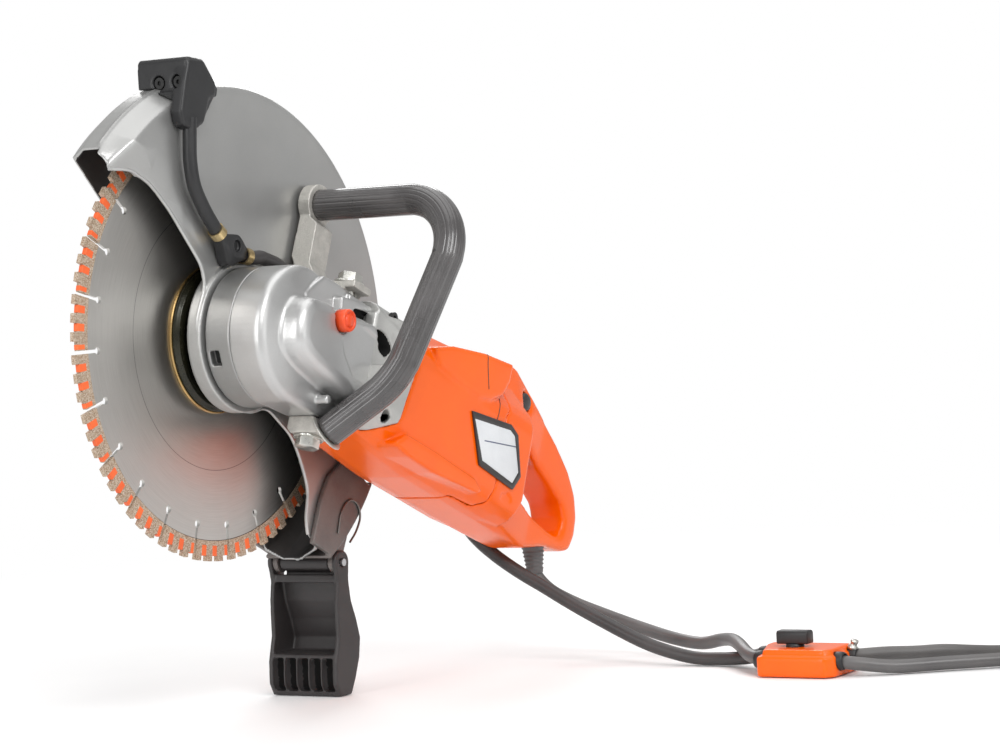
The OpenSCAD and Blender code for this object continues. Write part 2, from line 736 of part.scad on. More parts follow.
spring_path = [[-106, -166], [-112, -150], [-124, -140], [-138, -146], [-139, -156], [-131, -166], [-122, -175]];
module flap_spring() {
  color("silver") at_saw() plate_y(33.1, 34.7) for (i = [0:len(spring_path) - 2]) hull() {
    translate(spring_path[i]) circle(r = 1.1, $fn = 12);
    translate(spring_path[i + 1]) circle(r = 1.1, $fn = 12);
  }
}

// ---------- cords and what is on them ----------
relief_top = body_point([-384, motor_y, -46]);
relief_end = cable_path[0];
module strain_relief() {
  color("dimgray") at_saw() {
    a = relief_top;
    b = relief_end;
    h = unit(b - a);
    hull() {
      translate(a) rotate([0, acos(h[2]), atan2(h[1], h[0])]) cylinder(r = 10.5, h = 3, $fn = 32);
      translate(b - 2 * h) rotate([0, acos(h[2]), atan2(h[1], h[0])]) cylinder(r = 7.2, h = 2, $fn = 32);
    }
  }
}
module power_lead() { color("dimgray") at_saw() tube(cable_path, cable_r, 8); }
module water_hose() {
  color("gray") at_saw() tube(concat([for (p = body_hose_path) body_point(p)], free_hose_path), hose_r, 8);
}
module supply_cable() { color("dimgray") at_saw() tube(supply_cable_path, cable_r, 8); }
module supply_hose() { color("gray") at_saw() tube(supply_hose_path, hose_r, 8); }
box_at = [-270, 364, -298];
box_h = 11;
// the box from above: its end where the cords come in is slanted
module box_outline(d = 0) {
  polygon([[-27 + d, -40 + d], [-10, -40 + d], [27 - d, -27 + d], [27 - d, 33 - d / 2], [20 - d / 2, 40 - d],
    [-20 + d / 2, 40 - d], [-27 + d, 34]]);
}
// the four cords' ways into the box
module box_ports(r) {
  bar_y(r, -60, 60, -14, 12);
  bar_y(r, -60, 60, 11, 12);
}
module inline_box_base() {
  color("orangered") at_saw() translate(box_at) difference() {
    linear_extrude(box_h) box_outline();
    translate([0, 0, 3]) linear_extrude(box_h) box_outline(3);
    box_ports(hose_r + 0.4);
  }
}
module inline_box_cover() {
  color("orangered") at_saw() translate(box_at) difference() {
    union() {
      translate([0, 0, box_h]) linear_extrude(box_h - 5) box_outline();
      translate([0, 0, 2 * box_h - 5]) linear_extrude(5) box_outline(4);
    }
    translate([0, 0, box_h - 0.01]) linear_extrude(box_h - 5) box_outline(3);
    bar_z(5.3, 10, 30, 2, -4);
    box_ports(hose_r + 0.4);
  }
}
module tap_lever() {
  color("black") at_saw() translate(box_at) {
    bar_z(5, 14, 24, 2, -4);
    translate([-4, -18, 24]) cube([12, 28, 11]);
  }
}
module cable_coil() {
  color("dimgray") at_saw() translate(coil_at) rotate_extrude($fn = 96)
    translate([coil_r - 17, 0]) square([34, coil_h]);
}
module power_plug() {
  color("black") at_saw() translate(coil_at + [-coil_r, -10, coil_h + 18]) {
    bar_y(18, 0, 22);
    bar_y(14, 22, 38);
    for (x = [-9.5, 9.5]) bar_y(2.4, 38, 57, x, 0);
  }
}
module hose_connector() {
  color("goldenrod") at_saw() translate(supply_hose_path[7] + [0, 0, 3.2]) rotate([0, 90, 158]) {
    cylinder(r = 9, h = 22);
    translate([0, 0, 22]) cylinder(r = 6.5, h = 14);
  }
}

blade_core();
blade_segments();
inner_flange();
outer_flange();
blade_bolt();
spindle();
crown_gear();
armature_shaft();
armature_core();
commutator();
cooling_fan();
spindle_bearings();
armature_bearings();
field_stator();
field_coils();
brush_holders();
carbon_brushes();
trigger_switch();
control_module();
gearbox_collar();
gear_housing();
motor_flange();
motor_housing();
rear_handle_left();
rear_handle_right();
housing_screws();
badge_frame();
badge_plate();
front_handle_tube();
front_handle_grip();
upper_bracket();
lower_bracket();
bracket_bolts();
spindle_lock_button();
lock_spring();
lockout_button();
trigger();
trigger_spring();
guard_shell();
guard_handle();
guard_handle_screws();
guard_hose();
hose_clamps();
hose_tee();
spray_nozzles();
flap_bracket();
flap();
flap_hinge_pin();
flap_spring();
strain_relief();
power_lead();
water_hose();
inline_box_base();
inline_box_cover();
tap_lever();
supply_cable();
supply_hose();
cable_coil();
power_plug();
hose_connector();
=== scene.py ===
"""Looks of the concrete cut-off saw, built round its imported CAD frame. Metres, in the row frame."""
import json
import math

import bmesh
import bpy
from mathutils import Matrix, Vector
from mathutils.bvhtree import BVHTree


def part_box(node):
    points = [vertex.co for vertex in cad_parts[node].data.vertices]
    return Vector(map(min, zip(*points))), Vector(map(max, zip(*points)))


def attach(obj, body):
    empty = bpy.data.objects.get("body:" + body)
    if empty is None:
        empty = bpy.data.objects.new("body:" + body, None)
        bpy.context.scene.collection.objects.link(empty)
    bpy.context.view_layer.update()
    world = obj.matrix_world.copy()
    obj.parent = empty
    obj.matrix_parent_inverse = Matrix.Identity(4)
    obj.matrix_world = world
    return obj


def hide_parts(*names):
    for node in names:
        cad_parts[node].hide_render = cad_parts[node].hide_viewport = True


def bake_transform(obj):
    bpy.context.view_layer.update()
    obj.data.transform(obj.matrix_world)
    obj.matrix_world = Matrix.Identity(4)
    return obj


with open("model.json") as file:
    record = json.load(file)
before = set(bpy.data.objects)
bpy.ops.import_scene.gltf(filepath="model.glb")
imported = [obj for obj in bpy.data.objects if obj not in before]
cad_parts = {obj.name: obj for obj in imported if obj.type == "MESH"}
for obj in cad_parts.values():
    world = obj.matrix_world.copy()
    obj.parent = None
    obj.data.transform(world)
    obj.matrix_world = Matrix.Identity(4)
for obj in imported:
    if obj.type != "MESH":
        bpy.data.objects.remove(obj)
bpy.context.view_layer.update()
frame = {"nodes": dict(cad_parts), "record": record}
scene = bpy.context.scene

# places as in part.scad: the middle of the blade, and the pitch of the body about it
MM = 0.001
SPINDLE_HEIGHT = 298
SPINDLE = Vector((103.3, -74.7, SPINDLE_HEIGHT)) * MM
PITCH = math.radians(24)
MOTOR_Y = 80
HANDLE_X = -50
BARREL_R = 55
UP_Y = (0, 1, 0)
UP_Z = (0, 0, 1)
BODY = Matrix.Translation(SPINDLE) @ Matrix.Rotation(-PITCH, 4, "Y")
SAW = Matrix.Translation(SPINDLE)


def saw(x, y, z):
    """A point given in millimetres from the middle of the blade."""
    return SPINDLE + Vector((x, y, z)) * MM


def body(x, y, z):
    """A point given in millimetres along the pitched body."""
    return BODY @ (Vector((x, y, z)) * MM)


# ---------- camera ----------
VIEW_AZIMUTH, VIEW_ELEVATION, VIEW_ROLL = (math.radians(a) for a in (121.77, 2.608, -3.5))
VIEW_FROM = saw(2092, 1558.7, 76.2)
LENS = 118.8


def make_camera():
    a, e = VIEW_AZIMUTH, VIEW_ELEVATION
    back = Vector((math.sin(a) * math.cos(e), -math.cos(a) * math.cos(e), math.sin(e)))
    level = Vector((math.cos(a), math.sin(a), 0))
    right = level * math.cos(VIEW_ROLL) + back.cross(level) * math.sin(VIEW_ROLL)
    up = back.cross(right)
    data = bpy.data.cameras.new("camera")
    data.sensor_width = 36
    data.lens = LENS
    data.clip_start, data.clip_end = 0.1, 50
    cam = bpy.data.objects.new("camera", data)
    scene.collection.objects.link(cam)
    turn = Matrix((right, up, back)).transposed().to_4x4()
    cam.matrix_world = Matrix.Translation(VIEW_FROM) @ turn
    scene.camera = cam


make_camera()


# ---------- materials ----------
class Nodes:
    """A material's node tree with short ways to add to it."""

    def __init__(self, name):
        self.mat = bpy.data.materials.new(name)
        self.mat.use_nodes = True
        self.tree = self.mat.node_tree
        self.shader = self.tree.nodes["Principled BSDF"]
        self.where = self.add("ShaderNodeTexCoord").outputs["Object"]

    def add(self, kind, **values):
        node = self.tree.nodes.new(kind)
        for key, value in values.items():
            setattr(node, key, value)
        return node

    def link(self, a, b):
        self.tree.links.new(a, b)

    def noise(self, scale, detail=3.0, rough=0.55, vector=None):
        node = self.add("ShaderNodeTexNoise")
        node.inputs["Scale"].default_value = scale
        node.inputs["Detail"].default_value = detail
        node.inputs["Roughness"].default_value = rough
        self.link(vector or self.where, node.inputs["Vector"])
        return node.outputs["Fac"]

    def ramp(self, value, stops):
        node = self.add("ShaderNodeValToRGB")
        ramp = node.color_ramp
        while len(ramp.elements) < len(stops):
            ramp.elements.new(0.5)
        for element, (at, colour) in zip(ramp.elements, stops):
            element.position = at
            element.color = (*colour, 1)
        self.link(value, node.inputs["Fac"])
        return node.outputs["Color"]

    def spread(self, value, low, high):
        node = self.add("ShaderNodeMapRange")
        node.inputs["From Min"].default_value = 0.25
        node.inputs["From Max"].default_value = 0.75
        node.inputs["To Min"].default_value = low
        node.inputs["To Max"].default_value = high
        self.link(value, node.inputs["Value"])
        return node.outputs["Result"]

    def math(self, op, a, b):
        node = self.add("ShaderNodeMath", operation=op)
        for socket, value in zip(node.inputs, (a, b)):
            if isinstance(value, (int, float)):
                socket.default_value = value
            else:
                self.link(value, socket)
        return node.outputs["Value"]

    def mix(self, fac, a, b):
        node = self.add("ShaderNodeMix", data_type="RGBA")
        self.link(fac, node.inputs["Factor"])
        for key, value in ((6, a), (7, b)):
            if isinstance(value, tuple):
                node.inputs[key].default_value = (*value, 1)
            else:
                self.link(value, node.inputs[key])
        return node.outputs[2]

    def bump(self, height, strength, distance=0.0004):
        node = self.add("ShaderNodeBump")
        node.inputs["Strength"].default_value = strength
        node.inputs["Distance"].default_value = distance
        self.link(height, node.inputs["Height"])
        self.link(node.outputs["Normal"], self.shader.inputs["Normal"])


def finish(name, dark, light, rough, metal, patch=25.0, grain=900.0, bump=0.12, coat=0.0, gloss=0.5):
    """A surface with patchy colour between two tones, patchy gloss and a fine grain."""
    n = Nodes(name)
    patches = n.noise(patch, 4)
    fine = n.noise(grain, 2)
    both = n.math("ADD", n.math("MULTIPLY", patches, 0.75), n.math("MULTIPLY", fine, 0.25))
    n.link(n.ramp(both, [(0.3, dark), (0.7, light)]), n.shader.inputs["Base Color"])
    n.link(n.spread(patches, rough[0], rough[1]), n.shader.inputs["Roughness"])
    n.shader.inputs["Metallic"].default_value = metal
    n.shader.inputs["Coat Weight"].default_value = coat
    n.shader.inputs["Coat Roughness"].default_value = 0.12
    n.shader.inputs["Specular IOR Level"].default_value = gloss
    n.bump(fine, bump)
    return n.mat


PRESSED_RING_R, PRESSED_RING_HALF = 0.1035, 0.0003


def blade_finish():
    """Ground steel with fine rings round the spindle and one faint pressed ring."""
    n = Nodes("blade_steel")
    split = n.add("ShaderNodeSeparateXYZ")
    n.link(n.where, split.inputs[0])
    dx = n.math("SUBTRACT", split.outputs["X"], SPINDLE.x)
    dz = n.math("SUBTRACT", split.outputs["Z"], SPINDLE.z)
    radius = n.math("SQRT", n.math("ADD", n.math("POWER", dx, 2.0), n.math("POWER", dz, 2.0)), 0.0)
    angle = n.math("ARCTAN2", dz, dx)
    place = n.add("ShaderNodeCombineXYZ")
    n.link(radius, place.inputs["X"])
    n.link(n.math("MULTIPLY", angle, 0.0025), place.inputs["Y"])
    rings = n.noise(1500, 3, 0.6, place.outputs["Vector"])
    clouds = n.noise(14, 3)
    near = n.math("ABSOLUTE", n.math("SUBTRACT", radius, PRESSED_RING_R), 0.0)
    line = n.math("LESS_THAN", near, PRESSED_RING_HALF)
    tone = n.math("ADD", n.math("MULTIPLY", rings, 0.7), n.math("MULTIPLY", clouds, 0.3))
    steel = n.ramp(tone, [(0.3, (0.5, 0.485, 0.46)), (0.7, (0.6, 0.585, 0.56))])
    n.link(n.mix(line, steel, (0.26, 0.25, 0.24)), n.shader.inputs["Base Color"])
    n.link(n.spread(rings, 0.33, 0.42), n.shader.inputs["Roughness"])
    n.shader.inputs["Metallic"].default_value = 1.0
    n.shader.inputs["Anisotropic"].default_value = 0.55
    tangent = n.add("ShaderNodeTangent", direction_type="RADIAL", axis="Y")
    n.link(tangent.outputs["Tangent"], n.shader.inputs["Tangent"])
    n.bump(rings, 0.03, 0.0002)
    return n.mat


def speckled(name, stops, scale, rough, metal, bump):
    """Grains of several colours, as in sintered metal."""
    n = Nodes(name)
    cells = n.add("ShaderNodeTexVoronoi")
    cells.inputs["Scale"].default_value = scale
    n.link(n.where, cells.inputs["Vector"])
    value = n.add("ShaderNodeSeparateColor")
    n.link(cells.outputs["Color"], value.inputs["Color"])
    n.link(n.ramp(value.outputs[0], stops), n.shader.inputs["Base Color"])
    n.link(n.spread(n.noise(scale), rough - 0.1, rough + 0.1), n.shader.inputs["Roughness"])
    n.shader.inputs["Metallic"].default_value = metal
    n.bump(value.outputs[0], bump)
    return n.mat


# dark tone, light tone, range of roughness, metal, and what differs from the rest
FINISHES = {
    "segment_orange": ((0.75, 0.1, 0.02), (0.9, 0.17, 0.04), (0.4, 0.6), 0, dict(grain=1800, bump=0.3)),
    "weld_dark": ((0.05, 0.04, 0.035), (0.1, 0.085, 0.07), (0.4, 0.6), 0.5),
    "zinc_yellow": ((0.32, 0.2, 0.07), (0.66, 0.45, 0.2), (0.2, 0.4), 0.9, dict(patch=45)),
    "oily": ((0.008, 0.009, 0.007), (0.035, 0.033, 0.018), (0.14, 0.3), 0.4, dict(patch=60)),
    "dark_steel": ((0.13, 0.12, 0.11), (0.24, 0.23, 0.22), (0.25, 0.45), 0.9),
    "zinc": ((0.5, 0.5, 0.47), (0.72, 0.71, 0.66), (0.22, 0.42), 0.95, dict(patch=80)),
    "steel": ((0.42, 0.42, 0.43), (0.62, 0.62, 0.63), (0.22, 0.38), 1.0),
    "gear_steel": ((0.2, 0.2, 0.21), (0.34, 0.34, 0.35), (0.3, 0.45), 0.95),
    "laminations": ((0.22, 0.22, 0.23), (0.4, 0.4, 0.41), (0.4, 0.55), 0.8, dict(grain=1500)),
    "copper": ((0.5, 0.2, 0.1), (0.75, 0.36, 0.2), (0.25, 0.4), 0.9),
    "brass": ((0.5, 0.36, 0.16), (0.74, 0.58, 0.32), (0.22, 0.4), 0.95, dict(patch=90)),
    "carbon": ((0.02, 0.02, 0.02), (0.05, 0.05, 0.05), (0.6, 0.8), 0),
    "circuit_green": ((0.01, 0.09, 0.04), (0.03, 0.17, 0.08), (0.3, 0.5), 0),
    "cast_silver": ((0.47, 0.47, 0.465), (0.58, 0.58, 0.575), (0.33, 0.42), 0.8,
        dict(patch=18, grain=1400, bump=0.1)),
    # painted shade: cast_silver made darker, for the gearbox collar
    "cast_silver_painted_shade": ((0.3, 0.3, 0.295), (0.39, 0.39, 0.385), (0.33, 0.42), 0.8,
        dict(patch=18, grain=1400, bump=0.1)),
    "cast_grey": ((0.4, 0.4, 0.39), (0.52, 0.52, 0.5), (0.36, 0.5), 0.6,
        dict(patch=30, grain=1200, bump=0.15)),
    "cast_rough": ((0.4, 0.39, 0.36), (0.6, 0.58, 0.54), (0.35, 0.6), 0.6,
        dict(patch=120, grain=700, bump=0.5)),
    "orange_plastic": ((0.84, 0.1, 0.0), (0.93, 0.13, 0.0), (0.2, 0.28), 0,
        dict(patch=12, grain=1100, bump=0.02, coat=0.08, gloss=0.3)),
    # painted shade: a darker copy of the orange plastic
    "orange_deep": ((0.5, 0.05, 0.002), (0.6, 0.07, 0.004), (0.4, 0.5), 0),
    "orange_button": ((0.75, 0.06, 0.01), (0.85, 0.09, 0.02), (0.3, 0.42), 0),
    "black_plastic": ((0.008, 0.008, 0.009), (0.02, 0.02, 0.021), (0.35, 0.5), 0, dict(grain=1400, bump=0.2)),
    "dark_plastic": ((0.022, 0.019, 0.019), (0.04, 0.035, 0.035), (0.36, 0.48), 0,
        dict(grain=1700, bump=0.2)),
    "screw_black": ((0.02, 0.02, 0.02), (0.06, 0.06, 0.06), (0.3, 0.45), 0.7),
    "badge_white": ((0.62, 0.64, 0.66), (0.72, 0.74, 0.76), (0.3, 0.4), 0, dict(patch=40, bump=0.03)),
    "badge_line": ((0.08, 0.1, 0.16), (0.14, 0.16, 0.24), (0.4, 0.5), 0),
    "rubber_grip": ((0.044, 0.041, 0.041), (0.082, 0.077, 0.077), (0.24, 0.34), 0,
        dict(patch=30, grain=1500, bump=0.12, coat=0.55)),
    "guard_paint": ((0.36, 0.36, 0.355), (0.44, 0.44, 0.43), (0.3, 0.4), 0.7,
        dict(patch=10, grain=1700, bump=0.06)),
    # painted highlight: a lighter copy of the guard paint, for the edge of the near wall and its lip
    "guard_painted_highlight": ((0.42, 0.42, 0.41), (0.56, 0.56, 0.55), (0.3, 0.45), 0.6),
    "arm_brown": ((0.1, 0.085, 0.08), (0.19, 0.17, 0.16), (0.34, 0.5), 0.3,
        dict(patch=30, grain=1500, bump=0.15)),
    # painted shade: near-black for the depths of vents, notches and pockets
    "recess_painted_shade": ((0.002, 0.002, 0.002), (0.006, 0.006, 0.006), (0.7, 0.9), 0),
    # painted shade: near-black for the inside of the guard
    "guard_painted_shade": ((0.018, 0.016, 0.016), (0.04, 0.036, 0.034), (0.5, 0.7), 0, dict(grain=900, bump=0.3)),
    "rubber_hose": ((0.03, 0.028, 0.028), (0.055, 0.05, 0.05), (0.35, 0.5), 0, dict(grain=1500, bump=0.15)),
    "hose_grey": ((0.09, 0.085, 0.085), (0.13, 0.125, 0.12), (0.4, 0.55), 0, dict(grain=1500, bump=0.15)),
    "grey_rubber": ((0.08, 0.075, 0.075), (0.12, 0.115, 0.115), (0.4, 0.5), 0, dict(grain=1500, bump=0.15)),
    "rubber_cable": ((0.08, 0.076, 0.076), (0.13, 0.124, 0.122), (0.28, 0.42), 0,
        dict(grain=1500, bump=0.15)),
}
GRIT_COLOURS = [(0.1, (0.25, 0.16, 0.1)), (0.35, (0.42, 0.31, 0.22)), (0.75, (0.5, 0.4, 0.3)),
    (0.95, (0.62, 0.54, 0.45))]
MATERIALS = {
    "blade_steel": blade_finish(),
    "diamond_grit": speckled("diamond_grit", GRIT_COLOURS, 1700, 0.6, 0.3, 0.4),
}
for finish_name, (dark_tone, light_tone, roughness, metalness, *extras) in FINISHES.items():
    options = extras[0] if extras else {}
    MATERIALS[finish_name] = finish(finish_name, dark_tone, light_tone, roughness, metalness, **options)

SLOT_OF = {p["node"]: p["material_slot"] for p in frame["record"]["subparts"]}
BODY_OF = {n: b for b, nodes in frame["record"]["behaviour"]["bodies"].items() for n in nodes}
for node, obj in frame["nodes"].items():
    for socket in obj.material_slots:
        socket.material = MATERIALS[SLOT_OF[node]]


# ---------- making pieces ----------
def place(obj, material, rides, *nodes, smooth=True):
    """Gives a new object its material and its body, and hides the CAD nodes that it stands for."""
    if obj.name not in scene.collection.objects:
        scene.collection.objects.link(obj)
    obj.data.materials.clear()
    obj.data.materials.append(MATERIALS[material])
    if obj.type == "MESH" and smooth:
        obj.data.shade_smooth()
    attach(obj, rides)
    if nodes:
        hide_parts(*nodes)
    return obj


def new_object(name, data):
    obj = bpy.data.objects.new(name, data)
    scene.collection.objects.link(obj)
    return obj


def mesh_from(name, verts, faces):
    data = bpy.data.meshes.new(name)
    data.from_pydata([tuple(v) for v in verts], [], faces)
    data.validate()
    data.update()
    return new_object(name, data)


def closed_mesh(name, verts, faces, weld=0.0):
    """A closed mesh with its faces turned outwards and points within weld of each other joined."""
    obj = mesh_from(name, verts, faces)
    bm = bmesh.new()
    bm.from_mesh(obj.data)
    if weld:
        bmesh.ops.remove_doubles(bm, verts=bm.verts, dist=weld)
    bmesh.ops.recalc_face_normals(bm, faces=bm.faces)
    bm.to_mesh(obj.data)
    bm.free()
    return obj


def with_modifier(obj, kind, **values):
    """Applies one modifier to the object's mesh."""
    mod = obj.modifiers.new(kind, kind)
    for key, value in values.items():
        setattr(mod, key, value)
    bpy.context.view_layer.update()
    made = bpy.data.meshes.new_from_object(obj.evaluated_get(bpy.context.evaluated_depsgraph_get()))
    obj.modifiers.clear()
    old, obj.data = obj.data, made
    bpy.data.meshes.remove(old)
    return obj


def welded(name, *nodes):
    """A copy of CAD nodes as one mesh with its doubled points joined."""
    bm = bmesh.new()
    for node in nodes:
        bm.from_mesh(frame["nodes"][node].data)
    bmesh.ops.remove_doubles(bm, verts=bm.verts, dist=1e-6)
    data = bpy.data.meshes.new(name)
    bm.to_mesh(data)
    bm.free()
    data.materials.clear()
    return new_object(name, data)


def prism(name, outline, matrix, low, high, bevel=0.0):
    """An outline in the X and Z of matrix, in millimetres, made solid from Y low to Y high."""
    count = len(outline)
    area = sum(a[0] * b[1] - b[0] * a[1] for a, b in zip(outline, outline[1:] + outline[:1]))
    if area < 0:
        outline = outline[::-1]
    verts = [matrix @ (Vector((x, y, z)) * MM) for y in (low, high) for x, z in outline]
    sides = [(i, i + count, (i + 1) % count + count, (i + 1) % count) for i in range(count)]
    obj = closed_mesh(name, verts, [tuple(range(count)), tuple(range(2 * count - 1, count - 1, -1)), *sides])
    if bevel:
        with_modifier(obj, "BEVEL", width=bevel * MM, segments=3, limit_method="ANGLE")
    return obj


def loft(name, rings, matrix):
    """A closed solid through (Y, outline) rings, each outline in the X and Z of matrix, in millimetres."""
    count = len(rings[0][1])
    verts = [matrix @ (Vector((x, y, z)) * MM) for y, outline in rings for x, z in outline]
    faces = [tuple(range(count)), tuple(range((len(rings) - 1) * count, len(rings) * count))]
    for i in range(len(rings) - 1):
        a, b = i * count, (i + 1) * count
        faces += [(a + k, a + (k + 1) % count, b + (k + 1) % count, b + k) for k in range(count)]
    return closed_mesh(name, verts, faces)


def closed_curve(points, count):
    """A smooth closed outline through points of (x, z)."""
    ring = [Vector((x, z, 0)) for x, z in points]
    line = catmull(ring[-2:] + ring + ring[:2], 40 * (len(points) + 3))
    start = min(range(len(line) // 2), key=lambda i: (line[i] - ring[0]).length)
    end = min(range(len(line) // 2, len(line)), key=lambda i: (line[i] - ring[0]).length)
    turn = catmull(line[start:end + 1:4] + [line[end]], count + 1)[:-1]
    return [(p.x, p.y) for p in turn]


def inset(outline, depth):
    """An outline moved inwards by depth."""
    area = sum(a[0] * b[1] - b[0] * a[1] for a, b in zip(outline, outline[1:] + outline[:1]))
    side = 1 if area > 0 else -1
    out = []
    for i, (x, z) in enumerate(outline):
        (ax, az), (bx, bz) = outline[i - 1], outline[(i + 1) % len(outline)]
        dx, dz = bx - ax, bz - az
        run = math.hypot(dx, dz) or 1.0
        out.append((x - side * dz / run * depth, z + side * dx / run * depth))
    return out


def lathe(name, profile, at, axis, segments=40):
    """A profile of (radius, height) in millimetres, turned about axis through at, with its ends joined."""
    axis = Vector(axis).normalized()
    side = axis.orthogonal().normalized()
    other = axis.cross(side)
    verts, faces = [], []
    for i in range(segments):
        a = 2 * math.pi * i / segments
        out = side * math.cos(a) + other * math.sin(a)
        verts += [at + (out * max(r, 0.001) + axis * h) * MM for r, h in profile]
    count = len(profile)
    for i in range(segments):
        j = (i + 1) % segments
        for k in range(count - 1):
            faces.append((i * count + k, j * count + k, j * count + k + 1, i * count + k + 1))
        if profile[0][0] > 0.01:
            faces.append((i * count + count - 1, j * count + count - 1, j * count, i * count))
    return closed_mesh(name, verts, faces, weld=3e-6)


def catmull(points, count):
    """Points spaced evenly along a smooth curve through the given ones."""
    ends = [2 * points[0] - points[1], *points, 2 * points[-1] - points[-2]]
    fine = []
    for i in range(1, len(ends) - 2):
        p0, p1, p2, p3 = ends[i - 1:i + 3]
        for k in range(12):
            t = k / 12
            fine.append(0.5 * (2 * p1 + (p2 - p0) * t + (2 * p0 - 5 * p1 + 4 * p2 - p3) * t * t
                               + (3 * p1 - p0 - 3 * p2 + p3) * t ** 3))
    fine.append(points[-1].copy())
    run = [0.0]
    for a, b in zip(fine, fine[1:]):
        run.append(run[-1] + (b - a).length)
    out, j = [], 0
    for i in range(count):
        want = run[-1] * i / (count - 1)
        while j < len(fine) - 2 and run[j + 1] < want:
            j += 1
        t = (want - run[j]) / max(run[j + 1] - run[j], 1e-12)
        out.append(fine[j].lerp(fine[j + 1], min(max(t, 0), 1)))
    return out


def tube(name, points, radius, sides=6, resolution=4):
    """A round tube along one open curve."""
    data = bpy.data.curves.new(name, "CURVE")
    data.dimensions = "3D"
    data.bevel_depth = radius * MM
    data.bevel_resolution = sides
    data.resolution_u = resolution
    data.use_fill_caps = True
    spline = data.splines.new("BEZIER")
    spline.bezier_points.add(len(points) - 1)
    for knot, point in zip(spline.bezier_points, points):
        knot.co = point
        knot.handle_left_type = knot.handle_right_type = "AUTO"
    return bpy.data.objects.new(name, data)


def as_mesh(obj):
    """A curve object's shape as a new mesh object."""
    if obj.name not in scene.collection.objects:
        scene.collection.objects.link(obj)
    bpy.context.view_layer.update()
    made = bpy.data.meshes.new_from_object(obj.evaluated_get(bpy.context.evaluated_depsgraph_get()))
    name = obj.name
    bpy.data.objects.remove(obj)
    return new_object(name, made)


def merge_into(bm, parts):
    """Moves the meshes of some objects into bm."""
    for part in parts:
        bm.from_mesh(part.data)
        bpy.data.objects.remove(part)


def join(name, parts):
    """Several mesh objects as one."""
    bm = bmesh.new()
    merge_into(bm, parts)
    data = bpy.data.meshes.new(name)
    bm.to_mesh(data)
    bm.free()
    return new_object(name, data)


def carved(obj, tools):
    """The object with each tool's shape cut out of it, and the tools gone."""
    for tool in tools:
        with_modifier(obj, "BOOLEAN", operation="DIFFERENCE", object=tool, solver="EXACT")
        bpy.data.objects.remove(tool)
    return obj


def soften(name, nodes, size, passes=8, add=(), cut=(), keep=0.35, material=None, base=None, heavy=None):
    """Stands for CAD nodes with a cast or moulded copy: pieces added and cut out, then all its edges rounded.

    base is used in place of the nodes' own shape; heavy is (passes, share of them at a point)."""
    nodes = [nodes] if isinstance(nodes, str) else nodes
    obj = carved(base or welded(name, *nodes), cut)
    if add:
        bm = bmesh.new()
        bm.from_mesh(obj.data)
        merge_into(bm, add)
        bm.to_mesh(obj.data)
        bm.free()
    with_modifier(obj, "REMESH", mode="VOXEL", voxel_size=size * MM, adaptivity=0.0)
    with_modifier(obj, "SMOOTH", factor=0.5, iterations=passes)
    if heavy:
        group = obj.vertex_groups.new(name="heavy")
        for v in obj.data.vertices:
            share = heavy[1](v.co)
            if share > 0:
                group.add([v.index], min(share, 1.0), "REPLACE")
        with_modifier(obj, "SMOOTH", factor=0.5, iterations=heavy[0], vertex_group="heavy")
        obj.vertex_groups.clear()
    with_modifier(obj, "DECIMATE", ratio=keep)
    return place(obj, material or SLOT_OF[nodes[0]], BODY_OF[nodes[0]], *nodes)


def bevelled(name, node, width):
    """Stands for a plain CAD node with a copy whose edges are broken."""
    obj = welded(name, node)
    bm = bmesh.new()
    bm.from_mesh(obj.data)
    bmesh.ops.dissolve_limit(bm, angle_limit=math.radians(1), verts=bm.verts, edges=bm.edges)
    bm.to_mesh(obj.data)
    bm.free()
    with_modifier(obj, "BEVEL", width=width * MM, segments=2, limit_method="ANGLE",
                  angle_limit=math.radians(35))
    obj.data.set_sharp_from_angle(angle=math.radians(40))
    return place(obj, SLOT_OF[node], BODY_OF[node], node)


SEAM_R, LOOK_FROM = 0.45, 400


def seam(name, piece, points):
    """A thin dark line along points on a piece's near side, found by looking at the piece from beside it."""
    bm = bmesh.new()
    bm.from_mesh(piece.data)
    tree = BVHTree.FromBMesh(bm)
    bm.free()
    way = (BODY.to_3x3() @ Vector((0, -1, 0))).normalized()
    dense = catmull([Vector(p) for p in points], max(12, 6 * len(points)))
    looks = [tree.ray_cast(BODY @ (p * MM) - way * LOOK_FROM * MM, way)[0] for p in dense]
    laid = [hit for hit in looks if hit is not None]
    return place(tube(name, laid, SEAM_R, sides=2, resolution=2), "weld_dark", "saw_body")


# ---------- cords ----------
CORD_R = 5.5
COIL_AT = (-302, 643)
COIL_R, TURN_GAP, COIL_ROWS, COIL_COLUMNS = 66.1, 11.2, 4, 3
COIL_START, TURN_POINTS, BLEND_POINTS = -153, 16, 4
COIL_TOP, PLUG_R = 45, 18
PLUG_AT = saw(COIL_AT[0] - 66, COIL_AT[1] - 10, COIL_TOP + PLUG_R - SPINDLE_HEIGHT)
BOX = Matrix.Translation(saw(-270, 364, -SPINDLE_HEIGHT))

# the routes of part.scad
body_hose_path = [(-34, 39.5, 63.5), (-60, 40, 62), (-110, 41, 60), (-160, 41, 58),
    (-205, 42, 54), (-240, 43, 44), (-268, 43, 26), (-288, 43, 2), (-304, 43.5, -22), (-318, 45, -42)]
free_hose_path = [(-284, 51, -188), (-293, 66, -206), (-298, 86, -221), (-300, 107, -233),
    (-300, 133, -247), (-299, 162, -261), (-298, 200, -278), (-299, 227, -287), (-300, 252, -292),
    (-299, 278, -292), (-293, 302, -290), (-285, 321, -286), (-284, 331, -286)]
cable_path = [(-333, 80, -226), (-338, 90, -240), (-341, 112, -252), (-345, 140, -263), (-348, 172, -274),
    (-348, 205, -283), (-343, 234, -286), (-330, 260, -281), (-310, 281, -278), (-289, 299, -279),
    (-271, 314, -282), (-261, 327, -285), (-259, 342, -286)]
supply_cable_path = [(-259, 396, -286), (-262, 414, -288), (-276, 443, -292), (-297, 474, -292),
    (-315, 502, -292), (-334, 530, -292), (-353, 564, -292)]
